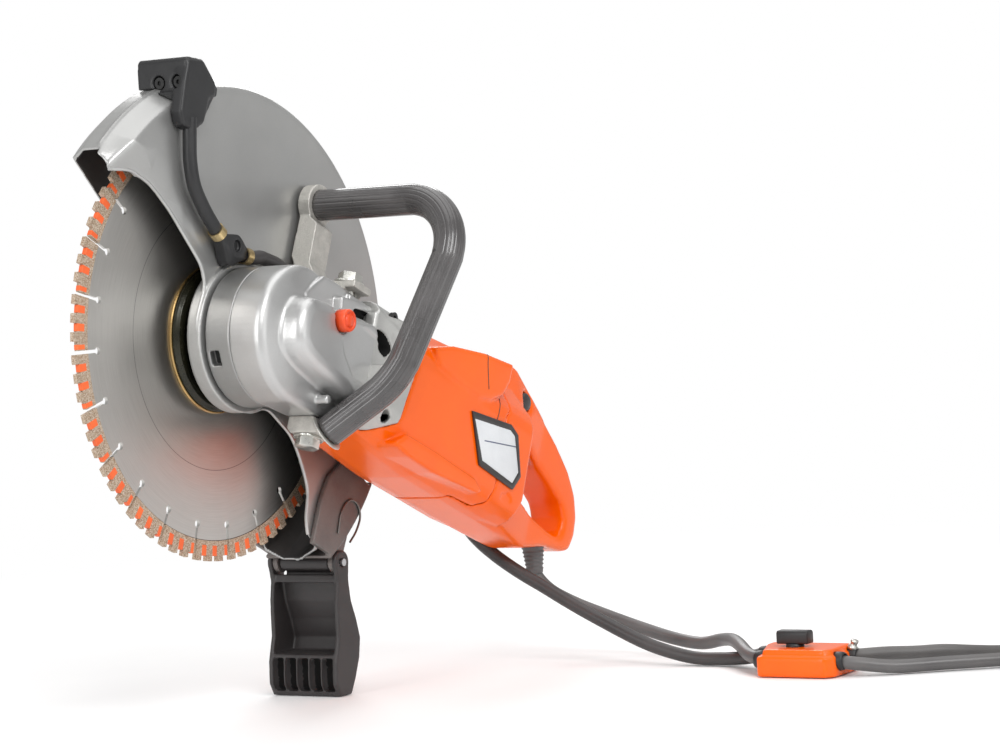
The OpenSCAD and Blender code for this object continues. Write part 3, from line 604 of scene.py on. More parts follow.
supply_hose_path = [(-284, 396, -286), (-287, 410, -285), (-299, 426, -285), (-312, 444, -286),
    (-324, 464, -286), (-342, 483, -289), (-365, 498, -292), (-392, 509, -292)]


def round_coil(angle, radius, height):
    """A point at an angle and radius about the coil's middle, and a height over the floor, in millimetres."""
    a = math.radians(angle)
    return saw(COIL_AT[0] + radius * math.cos(a), COIL_AT[1] + radius * math.sin(a), height - SPINDLE_HEIGHT)


def coil_place(turn):
    """Radius and height of a turn: each row lies across the ring, the next one back over it."""
    row, column = divmod(turn, COIL_COLUMNS)
    if row == COIL_ROWS:
        column = 1
    elif row % 2:
        column = COIL_COLUMNS - 1 - column
    return COIL_R + TURN_GAP * (1 - column), CORD_R + 0.1 + TURN_GAP * row


def coil_points():
    """The turns of the spare cable from the floor row up, with one more on top that rises to the plug."""
    points, turns = [], COIL_ROWS * COIL_COLUMNS
    last = turns * TURN_POINTS + TURN_POINTS + 1
    for i in range(last):
        turn, step = divmod(i, TURN_POINTS)
        turn = min(turn, turns)
        here, there = coil_place(turn), coil_place(min(turn + 1, turns))
        share = max(0.0, (step - (TURN_POINTS - BLEND_POINTS)) / BLEND_POINTS) if turn < turns else 0.0
        share = share * share * (3 - 2 * share)
        radius, height = (a + (b - a) * share for a, b in zip(here, there))
        to_end = last - 1 - i
        if to_end < BLEND_POINTS:
            lift = (BLEND_POINTS - to_end) / BLEND_POINTS
            height += (COIL_TOP + PLUG_R - height) * lift * lift * (3 - 2 * lift)
        points.append(round_coil(COIL_START - 360 * i / TURN_POINTS, radius, height))
    return points


def cord(name, line, material, nodes, resolution=4):
    return place(tube(name, line, CORD_R, resolution=resolution), material, "saw_body", *nodes)


whole_hose = catmull([body(*p) for p in body_hose_path] + [saw(*p) for p in free_hose_path], 90)
split = min(range(90), key=lambda i: (whole_hose[i] - saw(*free_hose_path[0])).length)
free_line = catmull(whole_hose[split:], 32)
hose_free = cord("hose_free", free_line, "rubber_hose", ["water_hose"])
cord("hose_on_body", catmull(whole_hose[:split + 1], 40), "rubber_hose", ["water_hose"])
lead_line = catmull([saw(*p) for p in cable_path], 30)
lead_free = cord("lead_free", lead_line, "rubber_cable", ["power_lead"])
supply_line = catmull([saw(*p) for p in supply_hose_path], 20)
hose_supply = cord("hose_supply", supply_line, "hose_grey", ["supply_hose"])
coil_line = catmull([saw(*p) for p in supply_cable_path], 16) + coil_points() + [PLUG_AT]
cable_supply = cord("cable_supply", coil_line, "rubber_cable", ["supply_cable", "cable_coil"], 3)

# plug, tie, hose connector
plug = lathe("plug_body", [(0, 0), (9, 0), (11, -1), (15, 1), (17.6, 4), (18, 7), (17.2, 8), (18, 9),
    (17.2, 10), (18, 11), (17.2, 12), (18, 13), (18, 20), (16.5, 22.5), (14.4, 23), (14, 24), (14, 37),
    (13, 38), (0, 38)], PLUG_AT, UP_Y, 48)
place(plug, "black_plastic", "saw_body", "power_plug")
for number, x in enumerate((-9.5, 9.5), 1):
    pin = lathe("plug_pin_%d" % number, [(0, 37), (2.4, 37), (2.4, 56), (1.9, 57), (0, 57)],
        PLUG_AT + Vector((x * MM, 0, 0)), UP_Y, 24)
    place(pin, "steel", "saw_body")


def coil_tie():
    """A strap round all the turns, 20 mm wide, with a section between an oval and a rectangle."""
    verts, faces, steps, wide = [], [], 28, 9
    middle_angle, angle_step, thick, least_height = 52, 2.1, 1.3, 0.15
    low, high = 0.2, COIL_TOP + 0.9
    half_r, half_z, mid = 17.9, (high - low) / 2, (high + low) / 2
    for w in range(wide):
        angle = middle_angle + (w - (wide - 1) / 2) * angle_step
        for out in (0.0, thick):
            for k in range(steps):
                t = 2 * math.pi * k / steps
                across, up = math.cos(t), math.sin(t)
                grow = (abs(across) ** 5 + abs(up) ** 5) ** -0.2
                radius = COIL_R + (half_r - thick + out) * across * grow
                height = mid + (half_z - thick + out) * up * grow
                verts.append(round_coil(angle, radius, max(height, least_height)))
    ring = 2 * steps
    for w in range(wide):
        for k in range(steps):
            n = (k + 1) % steps
            a, b = w * ring + k, w * ring + n
            if w < wide - 1:
                faces.append((a + steps, b + steps, b + steps + ring, a + steps + ring))
                faces.append((a, a + ring, b + ring, b))
            if w in (0, wide - 1):
                faces.append((a, b, b + steps, a + steps))
    return place(closed_mesh("coil_tie", verts, faces), "black_plastic", "saw_body")


tie = coil_tie()
HOSE_END = saw(*supply_hose_path[-1]) + Vector((0, 0, 3.2)) * MM
HOSE_HEADING = math.radians(158)
connector = lathe("connector_body", [(0, 0), (6.5, 0), (7.5, 0.6), (8.2, 2), (9, 3), (9, 8), (8.2, 8.6),
    (8.2, 9.4), (9, 10), (9, 15), (8.2, 15.6), (8.2, 16.4), (9, 17), (9, 21), (8.2, 22), (6.4, 22), (6.4, 25),
    (5.9, 26.5), (6.4, 27), (6.4, 30), (5.9, 31.5), (6.4, 32), (6.4, 35), (5.6, 36), (4, 36), (4, 20),
    (0, 20)], HOSE_END, (math.cos(HOSE_HEADING), math.sin(HOSE_HEADING), 0), 36)
place(connector, "brass", "saw_body", "hose_connector")

# strain relief with its rings
RELIEF_RINGS, RELIEF_R, RELIEF_TAPER = 5, 10.5, 3.3


def relief_boot(top, end):
    """The tapered rubber boot from the handle to the start of the cable."""
    down = end - top
    long = down.length / MM
    profile = [(0, 0), (RELIEF_R - 0.1, 0), (RELIEF_R, 3)]
    for i in range(RELIEF_RINGS):
        at = 6 + (long - 10) * i / RELIEF_RINGS
        radius = RELIEF_R - RELIEF_TAPER * at / long
        profile += [(radius, at), (radius - 0.9, at + 1), (radius - 1.0, at + 2.2), (radius - 0.25, at + 3.2)]
    profile += [(7.4, long - 3), (7.2, long - 0.6), (6.4, long), (0, long)]
    return place(lathe("relief_boot", profile, top, down, 32), "grey_rubber", "saw_body", "strain_relief")


relief = relief_boot(body(-384, MOTOR_Y, -46), saw(*cable_path[0]))

# inline box
box_case = soften("box_case", ["inline_box_base", "inline_box_cover"], 0.9, 42, keep=0.5)
TAP = BOX @ Matrix.Translation(Vector((2, -4, 0)) * MM)
lever_outline = [(-6, 24.3), (6, 24.3), (6, 33), (4.5, 35), (-4.5, 35), (-6, 33)]
lever = prism("box_lever", lever_outline, TAP, -14, 14, 1.2)
place(lever, "black_plastic", "tap", "tap_lever")
stem = lathe("box_lever_stem", [(0, 12), (5, 12), (5, 19), (6.8, 20.2), (7.4, 21.4), (7.4, 24.5), (0, 24.5)],
    TAP.translation, UP_Z, 32)
place(stem, "black_plastic", "tap")
for number, (x, y, way) in enumerate(((-14, 39, 1), (11, 39, 1), (-14, -39, -1), (11, -30, -1)), 1):
    gland = lathe("box_gland_%d" % number, [(5.6, -4), (7.4, -4), (7.6, 0), (7.3, 3.5), (6.6, 5), (5.6, 5)],
        BOX @ (Vector((x, y, 12)) * MM), (0, way, 0), 32)
    place(gland, "black_plastic", "saw_body")
nipple = lathe("box_nipple",
    [(0, 19), (4.2, 19), (4.4, 21.5), (2.9, 22.5), (2.9, 24.5), (3.4, 25.5), (3.2, 27), (0, 27.4)],
    BOX @ (Vector((-13, 33, 0)) * MM), (0, 0.35, 1), 24)
place(nipple, "zinc", "saw_body")


# ---------- blade ----------
SEGMENTS, SLOT_ANGLE, TEETH = 24, 0.4685, 6
TOOTH = (360 / SEGMENTS - 2 * SLOT_ANGLE) / TEETH
INSERT_R, INSERT_HALF = (162.6, 170.9), 1.95
WELD_R, WELD_HALF, WELD_STEPS = (158.5, 159.3), 1.42, 8


def around(radius, angle):
    a = math.radians(angle)
    return radius * math.cos(a), radius * math.sin(a)


inserts, welds = [], []
for i in range(SEGMENTS):
    base = i * 360 / SEGMENTS + SLOT_ANGLE
    for k in range(0, TEETH, 2):
        low, high = base + (k + 0.12) * TOOTH, base + (k + 0.98) * TOOTH
        if k == 0:
            high -= 0.3 * TOOTH
        corners = ((INSERT_R[0], low), (INSERT_R[1], low), (INSERT_R[1], high), (INSERT_R[0], high))
        outline = [around(r, a) for r, a in corners]
        inserts.append(prism("insert", outline, SAW, -INSERT_HALF, INSERT_HALF, 0.35))
    angles = [base + t * TEETH * TOOTH / WELD_STEPS for t in range(WELD_STEPS + 1)]
    arc = [around(WELD_R[1], a) for a in angles] + [around(WELD_R[0], a) for a in reversed(angles)]
    welds.append(prism("weld", arc, SAW, -WELD_HALF, WELD_HALF))
place(join("blade_inserts", inserts), "segment_orange", "blade", smooth=False)
place(join("blade_weld_lines", welds), "weld_dark", "blade", smooth=False)

flange_rim = lathe("flange_rim", [(57.5, 1.3), (58.6, 1.3), (59, 1.8), (59, 2.6), (58.5, 3.2), (57.5, 3.3)],
    saw(0, 0, 0), UP_Y, 96)
place(flange_rim, "zinc_yellow", "blade", "inner_flange")
flange_face = lathe("flange_face", [(12.5, 1.4), (57.4, 1.4), (57.4, 5.5), (56.4, 6.2), (55.9, 8.4),
    (55.2, 9), (48.5, 9), (47.5, 8.5), (46.5, 6.6), (26.5, 6.4), (25.8, 8.9), (20, 9), (20, 24), (12.5, 24)],
    saw(0, 0, 0), UP_Y, 96)
place(flange_face, "oily", "blade", "inner_flange")
bevelled("clamp_flange", "outer_flange", 0.8)
bevelled("blade_hex_bolt", "blade_bolt", 0.7)

# ---------- gearbox ----------
TOP_VENT = [(-40, 37), (-56, 40.5), (-69, 39), (-67, 31), (-60, 33.5), (-40, 31)]
SIDE_VENT = [(-63, 29), (-71, 26), (-78, 15), (-73, 7), (-68, 11), (-66, 19)]
BOSS_OUTLINE = [(25, 22), (33, 12), (35, -4), (30, -19), (14, -28), (-20, -33), (-62, -35), (-66, -4),
    (-62, 27), (-25, 28), (8, 26)]
# how far the outline is moved inwards at each distance from the middle of the blade
BARREL_STEPS = [(56, 0), (80, 0), (83, 0.6), (85, 1.8), (86.4, 3.6), (87.2, 5.4), (88.2, 9), (89.4, 14),
    (90.4, 19), (90.8, 26)]
BOSS_STEPS = [(84, -2.4), (90, -2.2), (91.5, -0.8), (93, 0), (100, 0.7), (104, 1.6), (106.6, 3), (108.6, 5.2),
    (109.6, 7.5), (110.4, 10.5)]
LEDGE_Y, FLANGE_Y = 100.5, 107.3
VENT_DEPTH = 14


def rounded(points, share=0.25):
    """An outline with each corner cut into a short curve."""
    out, count = [], len(points)
    for i in range(count):
        p, q, r = (Vector(points[(i + k) % count]) for k in (-1, 0, 1))
        for t in (0.0, 0.5, 1.0):
            a, b = q.lerp(p, share), q.lerp(r, share)
            out.append(tuple(a.lerp(q, t).lerp(q.lerp(b, t), t)))
    return out


def cylinder(name, radius, low, high, x, z):
    """A closed cylinder along the body's Y, for cutting."""
    return lathe(name, [(0, low), (radius, low), (radius, high), (0, high)], body(x, 0, z), UP_Y, 64)


def barrel_outline(depth):
    """The round front of the gearbox with its squarer back, all moved inwards by depth."""
    angles = [math.radians(a) for a in range(-90, 91, 5)]
    front = [((BARREL_R - depth) * math.cos(a), (BARREL_R - depth) * math.sin(a)) for a in angles]
    return front + [(-30, 53 - depth), (-62, 50 - depth), (-62, 0), (-62, depth - 50), (-30, depth - 53)]


boss_base = closed_curve(BOSS_OUTLINE, 72)


def boss_outline(depth):
    """The boss's outline moved inwards by depth, less and less towards the end that meets the motor."""
    moved = inset(boss_base, depth)
    shares = [min(1.0, max(0.0, (x + 58) / 22)) for x, _ in boss_base]
    return [(a[0] + (b[0] - a[0]) * t, a[1] + (b[1] - a[1]) * t) for a, b, t in zip(boss_base, moved, shares)]


def gear_boss():
    """The raised boss with its sunken panel and the slot and bore of the lock button."""
    boss = loft("boss", [(y, boss_outline(depth)) for y, depth in BOSS_STEPS], BODY)
    panel = [(-24, 14), (-20, 2), (-25, -7), (-42, -21), (-70, -21), (-70, 20), (-36, 24)]
    slot = [(-16, 26), (-2, 31), (4, 27), (-6, 17), (-16, 17)]
    return carved(boss, [prism("panel", panel, BODY, 109.2, 120), prism("button_slot", slot, BODY, 105, 120),
                         cylinder("button_bore", 10.4, 100, 120, -16, 17)])


def gear_ledge():
    """The ledge behind the boss, with the upper vent cut into it."""
    outline = [(-22, 40), (-34, 43), (-70, 48), (-70, 22), (-40, 25), (-24, 29)]
    ledge = prism("ledge", outline, BODY, 84, LEDGE_Y, 1.5)
    return carved(ledge, [prism("top_vent", rounded(TOP_VENT), BODY, 94, 120)])


def side_vent():
    return prism("side_vent", rounded(SIDE_VENT), BODY, 102, 140)


barrel = loft("gear_case", [(y, barrel_outline(depth)) for y, depth in BARREL_STEPS], BODY)
shoulder_outline = [(-62, 51), (-30, 53), (-6, 52), (6, 40), (14, 30), (10, 20), (-62, 20)]
shoulder = prism("shoulder", shoulder_outline, BODY, 60, 92, 2)
stub = lathe("stub", [(0, 88), (3.6, 88), (3.6, 98.6), (3, 99.4), (0, 99.6)], body(-31, 0, -42), UP_Y, 24)
foot_outline = [(HANDLE_X - 12, 36), (HANDLE_X + 12, 36), (HANDLE_X + 12, 48.8), (HANDLE_X - 12, 48.8)]
boss_foot = prism("boss_foot", foot_outline, BODY, 62, 96, 1)
gear_case = soften("gear_case", "gear_housing", 0.8, 6, base=barrel, keep=0.4,
                   add=[gear_boss(), stub, shoulder, gear_ledge(), boss_foot],
                   cut=[cylinder("bore", 43, 55, 80, 0, 0), cylinder("bore", 30, 79, 85, 0, 0)])
# the gearbox collar takes a darker copy of the cast silver, painted shade
soften("collar_case", "gearbox_collar", 0.8, 4, keep=0.35, material="cast_silver_painted_shade")
# painted shade: a near-black floor sheet in the notch
notch_floor = prism("notch_floor", [(46, -5.4), (48.7, -5.4), (48.7, 5.4), (46, 5.4)],
    BODY @ Matrix.Rotation(math.radians(38), 4, "Y"), 36.6, 44.4, 0.2)
place(notch_floor, "recess_painted_shade", "saw_body")

# the body seen from above, to cut the motor flange's sloping front
LYING = BODY @ Matrix.Rotation(math.radians(-90), 4, "X")
slope = prism("slope", [(-50, 106), (-60, 107.5), (-97, 128), (-97, 150), (-50, 150)], LYING, -70, 2)
front_wall = prism("front_wall", [(-60, 98), (-60, 107), (-96, 127), (-100, 121), (-98, 98)], LYING, -42, 8)
flange_case = soften("flange_case", "motor_flange", 0.9, 6, cut=[slope, side_vent()],
                     add=[carved(front_wall, [side_vent()])], keep=0.4)


def inside(polygon, x, z):
    """Whether a point is inside an outline."""
    hits = [(a[0] + (z - a[1]) / (b[1] - a[1]) * (b[0] - a[0])) > x
            for a, b in zip(polygon, polygon[1:] + polygon[:1]) if (a[1] > z) != (b[1] > z)]
    return sum(hits) % 2 == 1


def blacken(obj, outline, surface):
    """Gives the walls and floor of a vent in obj a near-black painted shade; surface is the skin's Y at an x.
    """
    edge, back = inset(rounded(outline), -1.0), BODY.inverted()
    obj.data.materials.append(MATERIALS["recess_painted_shade"])
    for face in obj.data.polygons:
        x, y, z = (back @ face.center) / MM
        if surface(x) - VENT_DEPTH < y < surface(x) - 0.9 and inside(edge, x, z):
            face.material_index = len(obj.data.materials) - 1


blacken(gear_case, TOP_VENT, lambda x: LEDGE_Y)
blacken(flange_case, SIDE_VENT, lambda x: FLANGE_Y - (x + 60) * 20 / 36)
# painted shade: near-black floors under the vents
place(prism("side_vent_floor", SIDE_VENT, BODY, 98, 103), "recess_painted_shade", "saw_body")
place(prism("top_vent_floor", TOP_VENT, BODY, 93, 95.2), "recess_painted_shade", "saw_body")

# ---------- motor body ----------
ridge_outline = [(-124, 35), (-133, 23), (-153, 20), (-197, 18), (-216, 23), (-232, 32), (-239, 46),
    (-240, 62), (-196, 56), (-149, 45)]
belly_outline = [(-92, -56), (-104, -46), (-150, -46), (-211, -48), (-224, -54), (-217, -58), (-150, -63),
    (-112, -62), (-92, -59)]
panels = [prism("ridge", ridge_outline, BODY, 92, MOTOR_Y + 46.6, 1.2),
    prism("belly", belly_outline, BODY, 90, MOTOR_Y + 47.2, 1.6)]
body_case = soften("body_case", "motor_housing", 1.3, 7, add=panels, keep=0.35)


def rear_share(point):
    """How much of the heavy rounding a point of the rear handle takes: all of it round the grip."""
    x = (BODY.inverted() @ point).x / MM
    return (-284 - x) / 26


pocket_outline = [(-256, -44), (-266, -41), (-275, -45), (-274, -55), (-262, -60)]
soften("handle_case", ["rear_handle_left", "rear_handle_right"], 1.3, 6, keep=0.4, heavy=(55, rear_share),
       cut=[prism("side_pocket", pocket_outline, BODY, 122, 140, 1)])
seam("top_seam", body_case, [(-199, 0, 62), (-200, 0, 50), (-208, 0, 29)])
seam("badge_seam", body_case, [(-234, 0, 30), (-232, 0, 20), (-230, 0, 10)])
soften("trigger_moulded", "trigger", 0.7, 5, keep=0.5)
lockout_profile = [(0, 85), (8, 85), (8.3, 86), (8.3, 98.5), (7.8, 100.5), (6.4, 102), (3, 103), (0, 103)]
lockout = lathe("lockout_cap", lockout_profile, body(-306, 0, 53), UP_Y, 40)
place(lockout, "dark_plastic", "lockout", "lockout_button")

button = lathe("lock_button", [(0, 78), (3, 78), (3, 106), (9, 107), (9, 115.4), (8.4, 116.6), (7.2, 117),
    (6.6, 116.4), (6.2, 115.6), (5.2, 115.6), (4.8, 116.5), (4.2, 117), (0, 117)], body(-16, 0, 17), UP_Y, 48)
place(button, "orange_button", "lock_button", "spindle_lock_button")

# badge: plain frame, plain plate and a thin line
bevelled("badge_rim", "badge_frame", 0.8)
bevelled("badge_face", "badge_plate", 0.3)
line_outline = [(-214, -13), (-262, -2), (-262, -3), (-214, -14)]
badge_line = prism("badge_line", line_outline, BODY, MOTOR_Y + 46.6, MOTOR_Y + 46.95)
place(badge_line, "badge_line", "saw_body")

# ---------- front handle ----------
GRIP_R, GROOVE_DEPTH, FLUTES = 12.6, 0.35, 20


def bend(middle, radius, start, stop, count):
    """Points of an arc in the handle's plane, from one angle in degrees to another."""
    angles = [math.radians(start + (stop - start) * i / count) for i in range(count + 1)]
    y, z = middle
    return [body(HANDLE_X, y + radius * math.cos(a), z + radius * math.sin(a)) for a in angles]


handle_line = [body(HANDLE_X, 42, 132), body(HANDLE_X, 84, 132), *bend((128, 87), 45, 90, -15, 12),
    *bend((93.3, 15.6), 60, -15, -53, 5), body(HANDLE_X, 95.9, -57.6)]


def fluted(name, line, radius, depth, flutes):
    """A round sleeve with fine grooves along it, swept on a line in the handle's plane."""
    sides, across = 12 * flutes, (BODY.to_3x3() @ Vector((1, 0, 0))).normalized()
    verts, faces = [], []
    last = len(line) - 1
    start = [(line[0], 0, radius - 2.5), (line[0], 0, radius - 0.8)]
    end = [(line[-1], last, radius - 0.8), (line[-1], last, radius - 2.5)]
    stations = [*start, *((p, i, radius) for i, p in enumerate(line)), *end]
    for k, (p, i, size) in enumerate(stations):
        along = (line[min(i + 1, last)] - line[max(i - 1, 0)]).normalized()
        other = along.cross(across)
        shift = along * MM * (-0.8 if k == 0 else 0.8 if k == len(stations) - 1 else 0)
        for j in range(sides):
            a = 2 * math.pi * j / sides
            r = size - depth * max(0.0, math.cos(a * flutes)) ** 3
            verts.append(p + shift + (across * math.cos(a) + other * math.sin(a)) * r * MM)
    for k in range(len(stations) - 1):
        for j in range(sides):
            n = (j + 1) % sides
            faces.append((k * sides + j, k * sides + n, (k + 1) * sides + n, (k + 1) * sides + j))
    faces += [tuple(range(sides)), tuple(range(len(verts) - sides, len(verts)))]
    return closed_mesh(name, verts, faces)


grip_way = handle_line[-1] - handle_line[-2]
handle_end = handle_line[-1] + grip_way.normalized() * 7 * MM
grip_line = catmull(handle_line + [handle_end], 110)
place(fluted("grip_sleeve", grip_line, GRIP_R, GROOVE_DEPTH, FLUTES), "rubber_grip", "saw_body",
      "front_handle_grip", "front_handle_tube")
soften("bracket_top", "upper_bracket", 0.8, 5, keep=0.5, material="cast_rough")
ring_cut = lathe("ring_cut", [(0, -16), (17.5, -16), (17.5, 8.5), (0, 8.5)], handle_line[-1], grip_way, 48)
soften("bracket_low", "lower_bracket", 0.8, 7, keep=0.5, material="cast_rough", cut=[ring_cut])
bevelled("bracket_hex_bolts", "bracket_bolts", 0.6)

# ---------- guard ----------
CREASE_AT, CREASE_WAY = (106, 147), (0.611, -0.791)
MOST_SLANT = 11.0
TIP_ANGLE = 50
BEAD_PLACES = ((204.6, 10.5), (205.3, 5.5))


def guard_tip():
    """The part of the rim and near wall that runs on ahead of the rest at the front of the guard."""
    profile = [(189, 28), (196, 28), (205, 9), (202, 8.2), (194, 25), (189, 25)]
    verts, faces = [], []
    for share in (0.0, 0.5, 1.0):
        for radius, y in profile:
            reach = 3.6 if y > 20 else 2.0
            a = math.radians(TIP_ANGLE - (1.4 + reach) * share)
            verts.append(saw(radius * math.cos(a), y, radius * math.sin(a)))
    count = len(profile)
    for a, b in ((0, count), (count, 2 * count)):
        faces += [(a + k, a + (k + 1) % count, b + (k + 1) % count, b + k) for k in range(count)]
    faces += [tuple(range(count)), tuple(range(2 * count, 3 * count))]
    return closed_mesh("guard_tip", verts, faces)


def rim_bead(radius, y):
    """A raised line round the rim of the guard, cut off where the guard is open."""
    profile = [(radius + out, y + up) for out, up in ((-1.2, -0.9), (0.5, -0.5), (0.5, 0.5), (-1.2, 0.9))]
    open_side = [(-220, -220), (260, -220), (260, 166), (144, 166), (0, 0), (-95, -205)]
    bead = lathe("rim_bead", profile, saw(0, 0, 0), UP_Y, 240)
    return carved(bead, [prism("open_side", open_side, SAW, -10, 40)])


def slanted(x, y, z):
    """Where a point of the guard goes when its near wall is bent towards the blade ahead of a crease."""
    beyond = CREASE_WAY[0] * (x - CREASE_AT[0]) + CREASE_WAY[1] * (z - CREASE_AT[1])
    if beyond <= 0 or y < 4 or z < 60:
        return x, y, z
    drop = 0.4 * beyond * min(1.0, (z - 60) / 50) * min(1.0, (y - 4) / 20)
    return x, y - min(drop, MOST_SLANT), z


def rim_share(point):
    """How much of the heavy rounding the guard takes: all of it on the shoulder of its near side."""
    p = (point - SPINDLE) / MM
    return min(1.0, (math.hypot(p.x, p.z) - 168) / 12, (p.y - 7) / 6)


def guard_surface(face):
    """Which of the guard's materials a face takes: 0 paint, 1 painted shade on the inside, 2 a painted
    highlight on the edge.
    """
    p, n = (face.center - SPINDLE) / MM, face.normal
    radius = math.hypot(p.x, p.z)
    outward = (n.x * p.x + n.z * p.z) / max(radius, 1)
    if p.y > 5 and n.y < -0.5 and radius > 60:
        return 1
    if (p.y < -5 and n.y > 0.5) or (radius > 150 and outward < -0.5):
        return 1
    return 2 if p.y > 20 and abs(n.y) < 0.6 and radius < 188 else 0


tip_outline = [(104, 136), (110, 128), (118, 132.5), (138, 134), (140.5, 138), (126, 148)]
tip_wall = prism("tip_wall", tip_outline, SAW, 25, 28)
guard_case = soften("guard_case", "guard_shell", 1.1, 4, keep=0.4, heavy=(40, rim_share),
                    add=[guard_tip(), tip_wall, *(rim_bead(radius, y) for radius, y in BEAD_PLACES)])
for vertex in guard_case.data.vertices:
    vertex.co = saw(*slanted(*((vertex.co - SPINDLE) / MM)))
# painted shade on the faces inside the guard, and a painted highlight on the sideways faces of its near wall
guard_case.data.materials.append(MATERIALS["guard_painted_shade"])
# painted highlight: the lighter copy of the guard paint for the edge faces
guard_case.data.materials.append(MATERIALS["guard_painted_highlight"])
for face in guard_case.data.polygons:
    face.material_index = guard_surface(face)
inner_edge = [(-73, -163), (-72, -150), (-76, -124), (-62, -88), (-44, -70), (-26, -58), (0, -58), (38, -42),
    (57, 8), (44, 42), (47, 60), (58, 80), (76, 104), (96, 122), (108, 129), (119, 134), (138, 135.5)]
edge_line = catmull([saw(x, 27.2, z) for x, z in inner_edge], 60)
lip = [saw(*slanted(*((p - SPINDLE) / MM))) for p in edge_line]
# painted highlight: the lip along the near wall's inner edge takes the lighter guard paint
place(tube("guard_lip", lip, 1.4, sides=4), "guard_painted_highlight", "guard")


def screw_hole(y):
    """A hole for one of the two screws of the guard's handle, from its front."""
    return lathe("screw_hole", [(0, 58), (5.6, 58), (5.6, 90), (0, 90)], saw(0, y, 200), (1, 0, 0), 32)


foot_outline = [(30, 188), (38, 186), (46, 168), (55, 163.5), (66, 163), (73, 167), (75, 177), (68, 200),
    (61, 217), (42, 216), (28, 198)]
grip_foot = carved(prism("grip_foot", foot_outline, SAW, 28.4, 40, 2), [screw_hole(29)])
grip_block = carved(welded("guard_grip", "guard_handle"), [screw_hole(11), screw_hole(29)])
soften("guard_grip", "guard_handle", 0.9, 12, keep=0.45, base=grip_block, add=[grip_foot],
       material="black_plastic")
pipe_route = [(60, 172), (62, 155), (63, 138), (60, 120), (51, 104), (41, 91), (32, 81)]
pipe_line = catmull([saw(x, 36, z) for x, z in pipe_route], 30)
place(tube("guard_pipe", pipe_line, CORD_R), "black_plastic", "guard", "guard_hose")
feed = catmull([saw(3, 37, 64), saw(-7, 37.5, 62), saw(-16, 38, 62)], 8)
bridge_points = feed + catmull([saw(-18, 38, 61.8), saw(-38, 39, 55), body(-34, 39.5, 63.5)], 12)
bridge = as_mesh(tube("feed_pipe", bridge_points, CORD_R))
bridge.data.materials.clear()
bridge.data.materials.append(MATERIALS["rubber_hose"])
bridge.data.shade_smooth()
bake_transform(bridge)
soften("tee_block", "hose_tee", 0.6, 5, keep=0.5)
soften("flap_holder", "flap_bracket", 0.9, 5, keep=0.45, material="arm_brown")
spring_route = [(-106, -166), (-113, -149), (-125, -141), (-136, -145), (-139, -156), (-132, -167),
    (-122, -175)]
spring_line = catmull([saw(x, 33.9, z) for x, z in spring_route], 24)
place(tube("flap_spring_wire", spring_line, 0.9, sides=3), "dark_steel", "guard", "flap_spring")
HINGE = ((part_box("flap_hinge_pin")[0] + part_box("flap_hinge_pin")[1]) / 2 - SPINDLE) / MM
BARREL_HALF, WEB_HALF = 23.5, 24
barrel_profile = [(3.2, -BARREL_HALF), (7, -BARREL_HALF), (7, BARREL_HALF), (3.2, BARREL_HALF)]
hinge_barrel = lathe("hinge_barrel", barrel_profile, saw(HINGE.x, 0, HINGE.z), UP_Y, 40)
web_outline = [(HINGE.x + x, HINGE.z + z) for x, z in ((-6, -2), (-2.5, -5), (-1, -16), (-7, -16))]
hinge_web = prism("hinge_web", web_outline, SAW, -WEB_HALF, WEB_HALF)
scoop = soften("flap_scoop", "flap", 0.9, 5, keep=0.45, add=[hinge_barrel, hinge_web])
scoop.data.materials.append(MATERIALS["recess_painted_shade"])
# the pockets between the ribs at the lower end of the flap take a near-black painted shade
flap_low, flap_high = ((corner - SPINDLE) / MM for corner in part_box("flap"))
pocket_low = flap_low + Vector((5, 4, 3))
pocket_high = Vector((flap_high.x - 9, flap_high.y - 4, flap_low.z + 30))
for face in scoop.data.polygons:
    p = (face.center - SPINDLE) / MM
    if all(low < at < high for low, at, high in zip(pocket_low, p, pocket_high)):
        face.material_index = 1


# ---------- light and floor ----------
def area_light(name, at, aim, size, power):
    data = bpy.data.lights.new(name, "AREA")
    data.shape = "RECTANGLE"
    data.size, data.size_y = size
    data.energy = power
    lamp = bpy.data.objects.new(name, data)
    scene.collection.objects.link(lamp)
    way = (Vector(aim) - Vector(at)).normalized()
    lamp.matrix_world = Matrix.Translation(Vector(at)) @ way.to_track_quat("-Z", "Y").to_matrix().to_4x4()


area_light("key", (1.6, 2.0, 2.3), (0, 0.1, 0.25), (1.8, 1.2), 54)
area_light("left_strip", (2.4, -0.5, 1.0), (0.05, 0, 0.3), (0.6, 1.8), 20)
area_light("right_fill", (0.2, 3.0, 0.8), (0, 0.1, 0.25), (1.5, 1.5), 10)
area_light("top", (-0.3, 0.2, 2.6), (0, 0.1, 0), (2.4, 2.4), 26)
area_light("back_rim", (-1.8, -1.2, 1.6), (0, 0, 0.3), (1.2, 1.2), 18)


FADE_FROM, FADE_TO = 0.55, 1.3
FLOOR_HALF, FLOOR_Z = 6, -0.0006
WORLD_LIGHT = 0.52


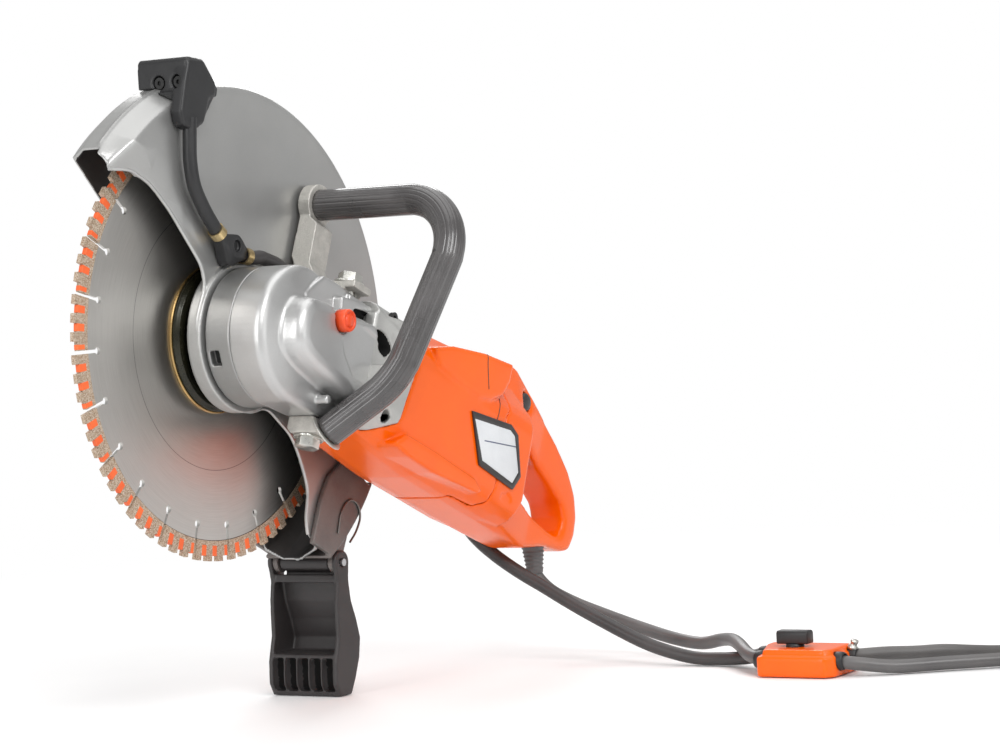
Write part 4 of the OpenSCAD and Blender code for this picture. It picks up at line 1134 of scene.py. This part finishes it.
def floor_finish():
    """A pale floor that fades into the white of the studio away from the saw."""
    n = Nodes("floor")
    fine = n.noise(3, 3)
    tones = [(0.3, (0.88, 0.88, 0.88)), (0.7, (0.92, 0.92, 0.92))]
    n.link(n.ramp(fine, tones), n.shader.inputs["Base Color"])
    n.link(n.spread(fine, 0.7, 0.8), n.shader.inputs["Roughness"])
    far = n.add("ShaderNodeVectorMath", operation="LENGTH")
    n.link(n.where, far.inputs[0])
    fade = n.add("ShaderNodeMapRange", interpolation_type="SMOOTHSTEP")
    fade.inputs["From Min"].default_value = FADE_FROM
    fade.inputs["From Max"].default_value = FADE_TO
    n.link(far.outputs["Value"], fade.inputs["Value"])
    white = n.add("ShaderNodeEmission")
    white.inputs["Color"].default_value = (1, 1, 1, 1)
    mix = n.add("ShaderNodeMixShader")
    n.link(fade.outputs["Result"], mix.inputs[0])
    n.link(n.shader.outputs[0], mix.inputs[1])
    n.link(white.outputs[0], mix.inputs[2])
    n.link(mix.outputs[0], n.tree.nodes["Material Output"].inputs["Surface"])
    return n.mat


corners = [(x * FLOOR_HALF, y * FLOOR_HALF, FLOOR_Z) for x, y in ((-1, -1), (1, -1), (1, 1), (-1, 1))]
floor = mesh_from("floor", corners, [(0, 1, 2, 3)])
floor.data.materials.append(floor_finish())


def studio_world():
    """White to look at, and a soft even light on everything else."""
    world = bpy.data.worlds.new("studio")
    world.use_nodes = True
    nodes, links = world.node_tree.nodes, world.node_tree.links
    seen = nodes["Background"]
    seen.inputs["Color"].default_value = (1, 1, 1, 1)
    soft = nodes.new("ShaderNodeBackground")
    soft.inputs["Color"].default_value = (1, 1, 1, 1)
    soft.inputs["Strength"].default_value = WORLD_LIGHT
    path = nodes.new("ShaderNodeLightPath")
    mix = nodes.new("ShaderNodeMixShader")
    links.new(path.outputs["Is Camera Ray"], mix.inputs[0])
    links.new(soft.outputs[0], mix.inputs[1])
    links.new(seen.outputs[0], mix.inputs[2])
    links.new(mix.outputs[0], nodes["World Output"].inputs["Surface"])
    return world


scene.world = studio_world()
scene.view_settings.view_transform = "Standard"
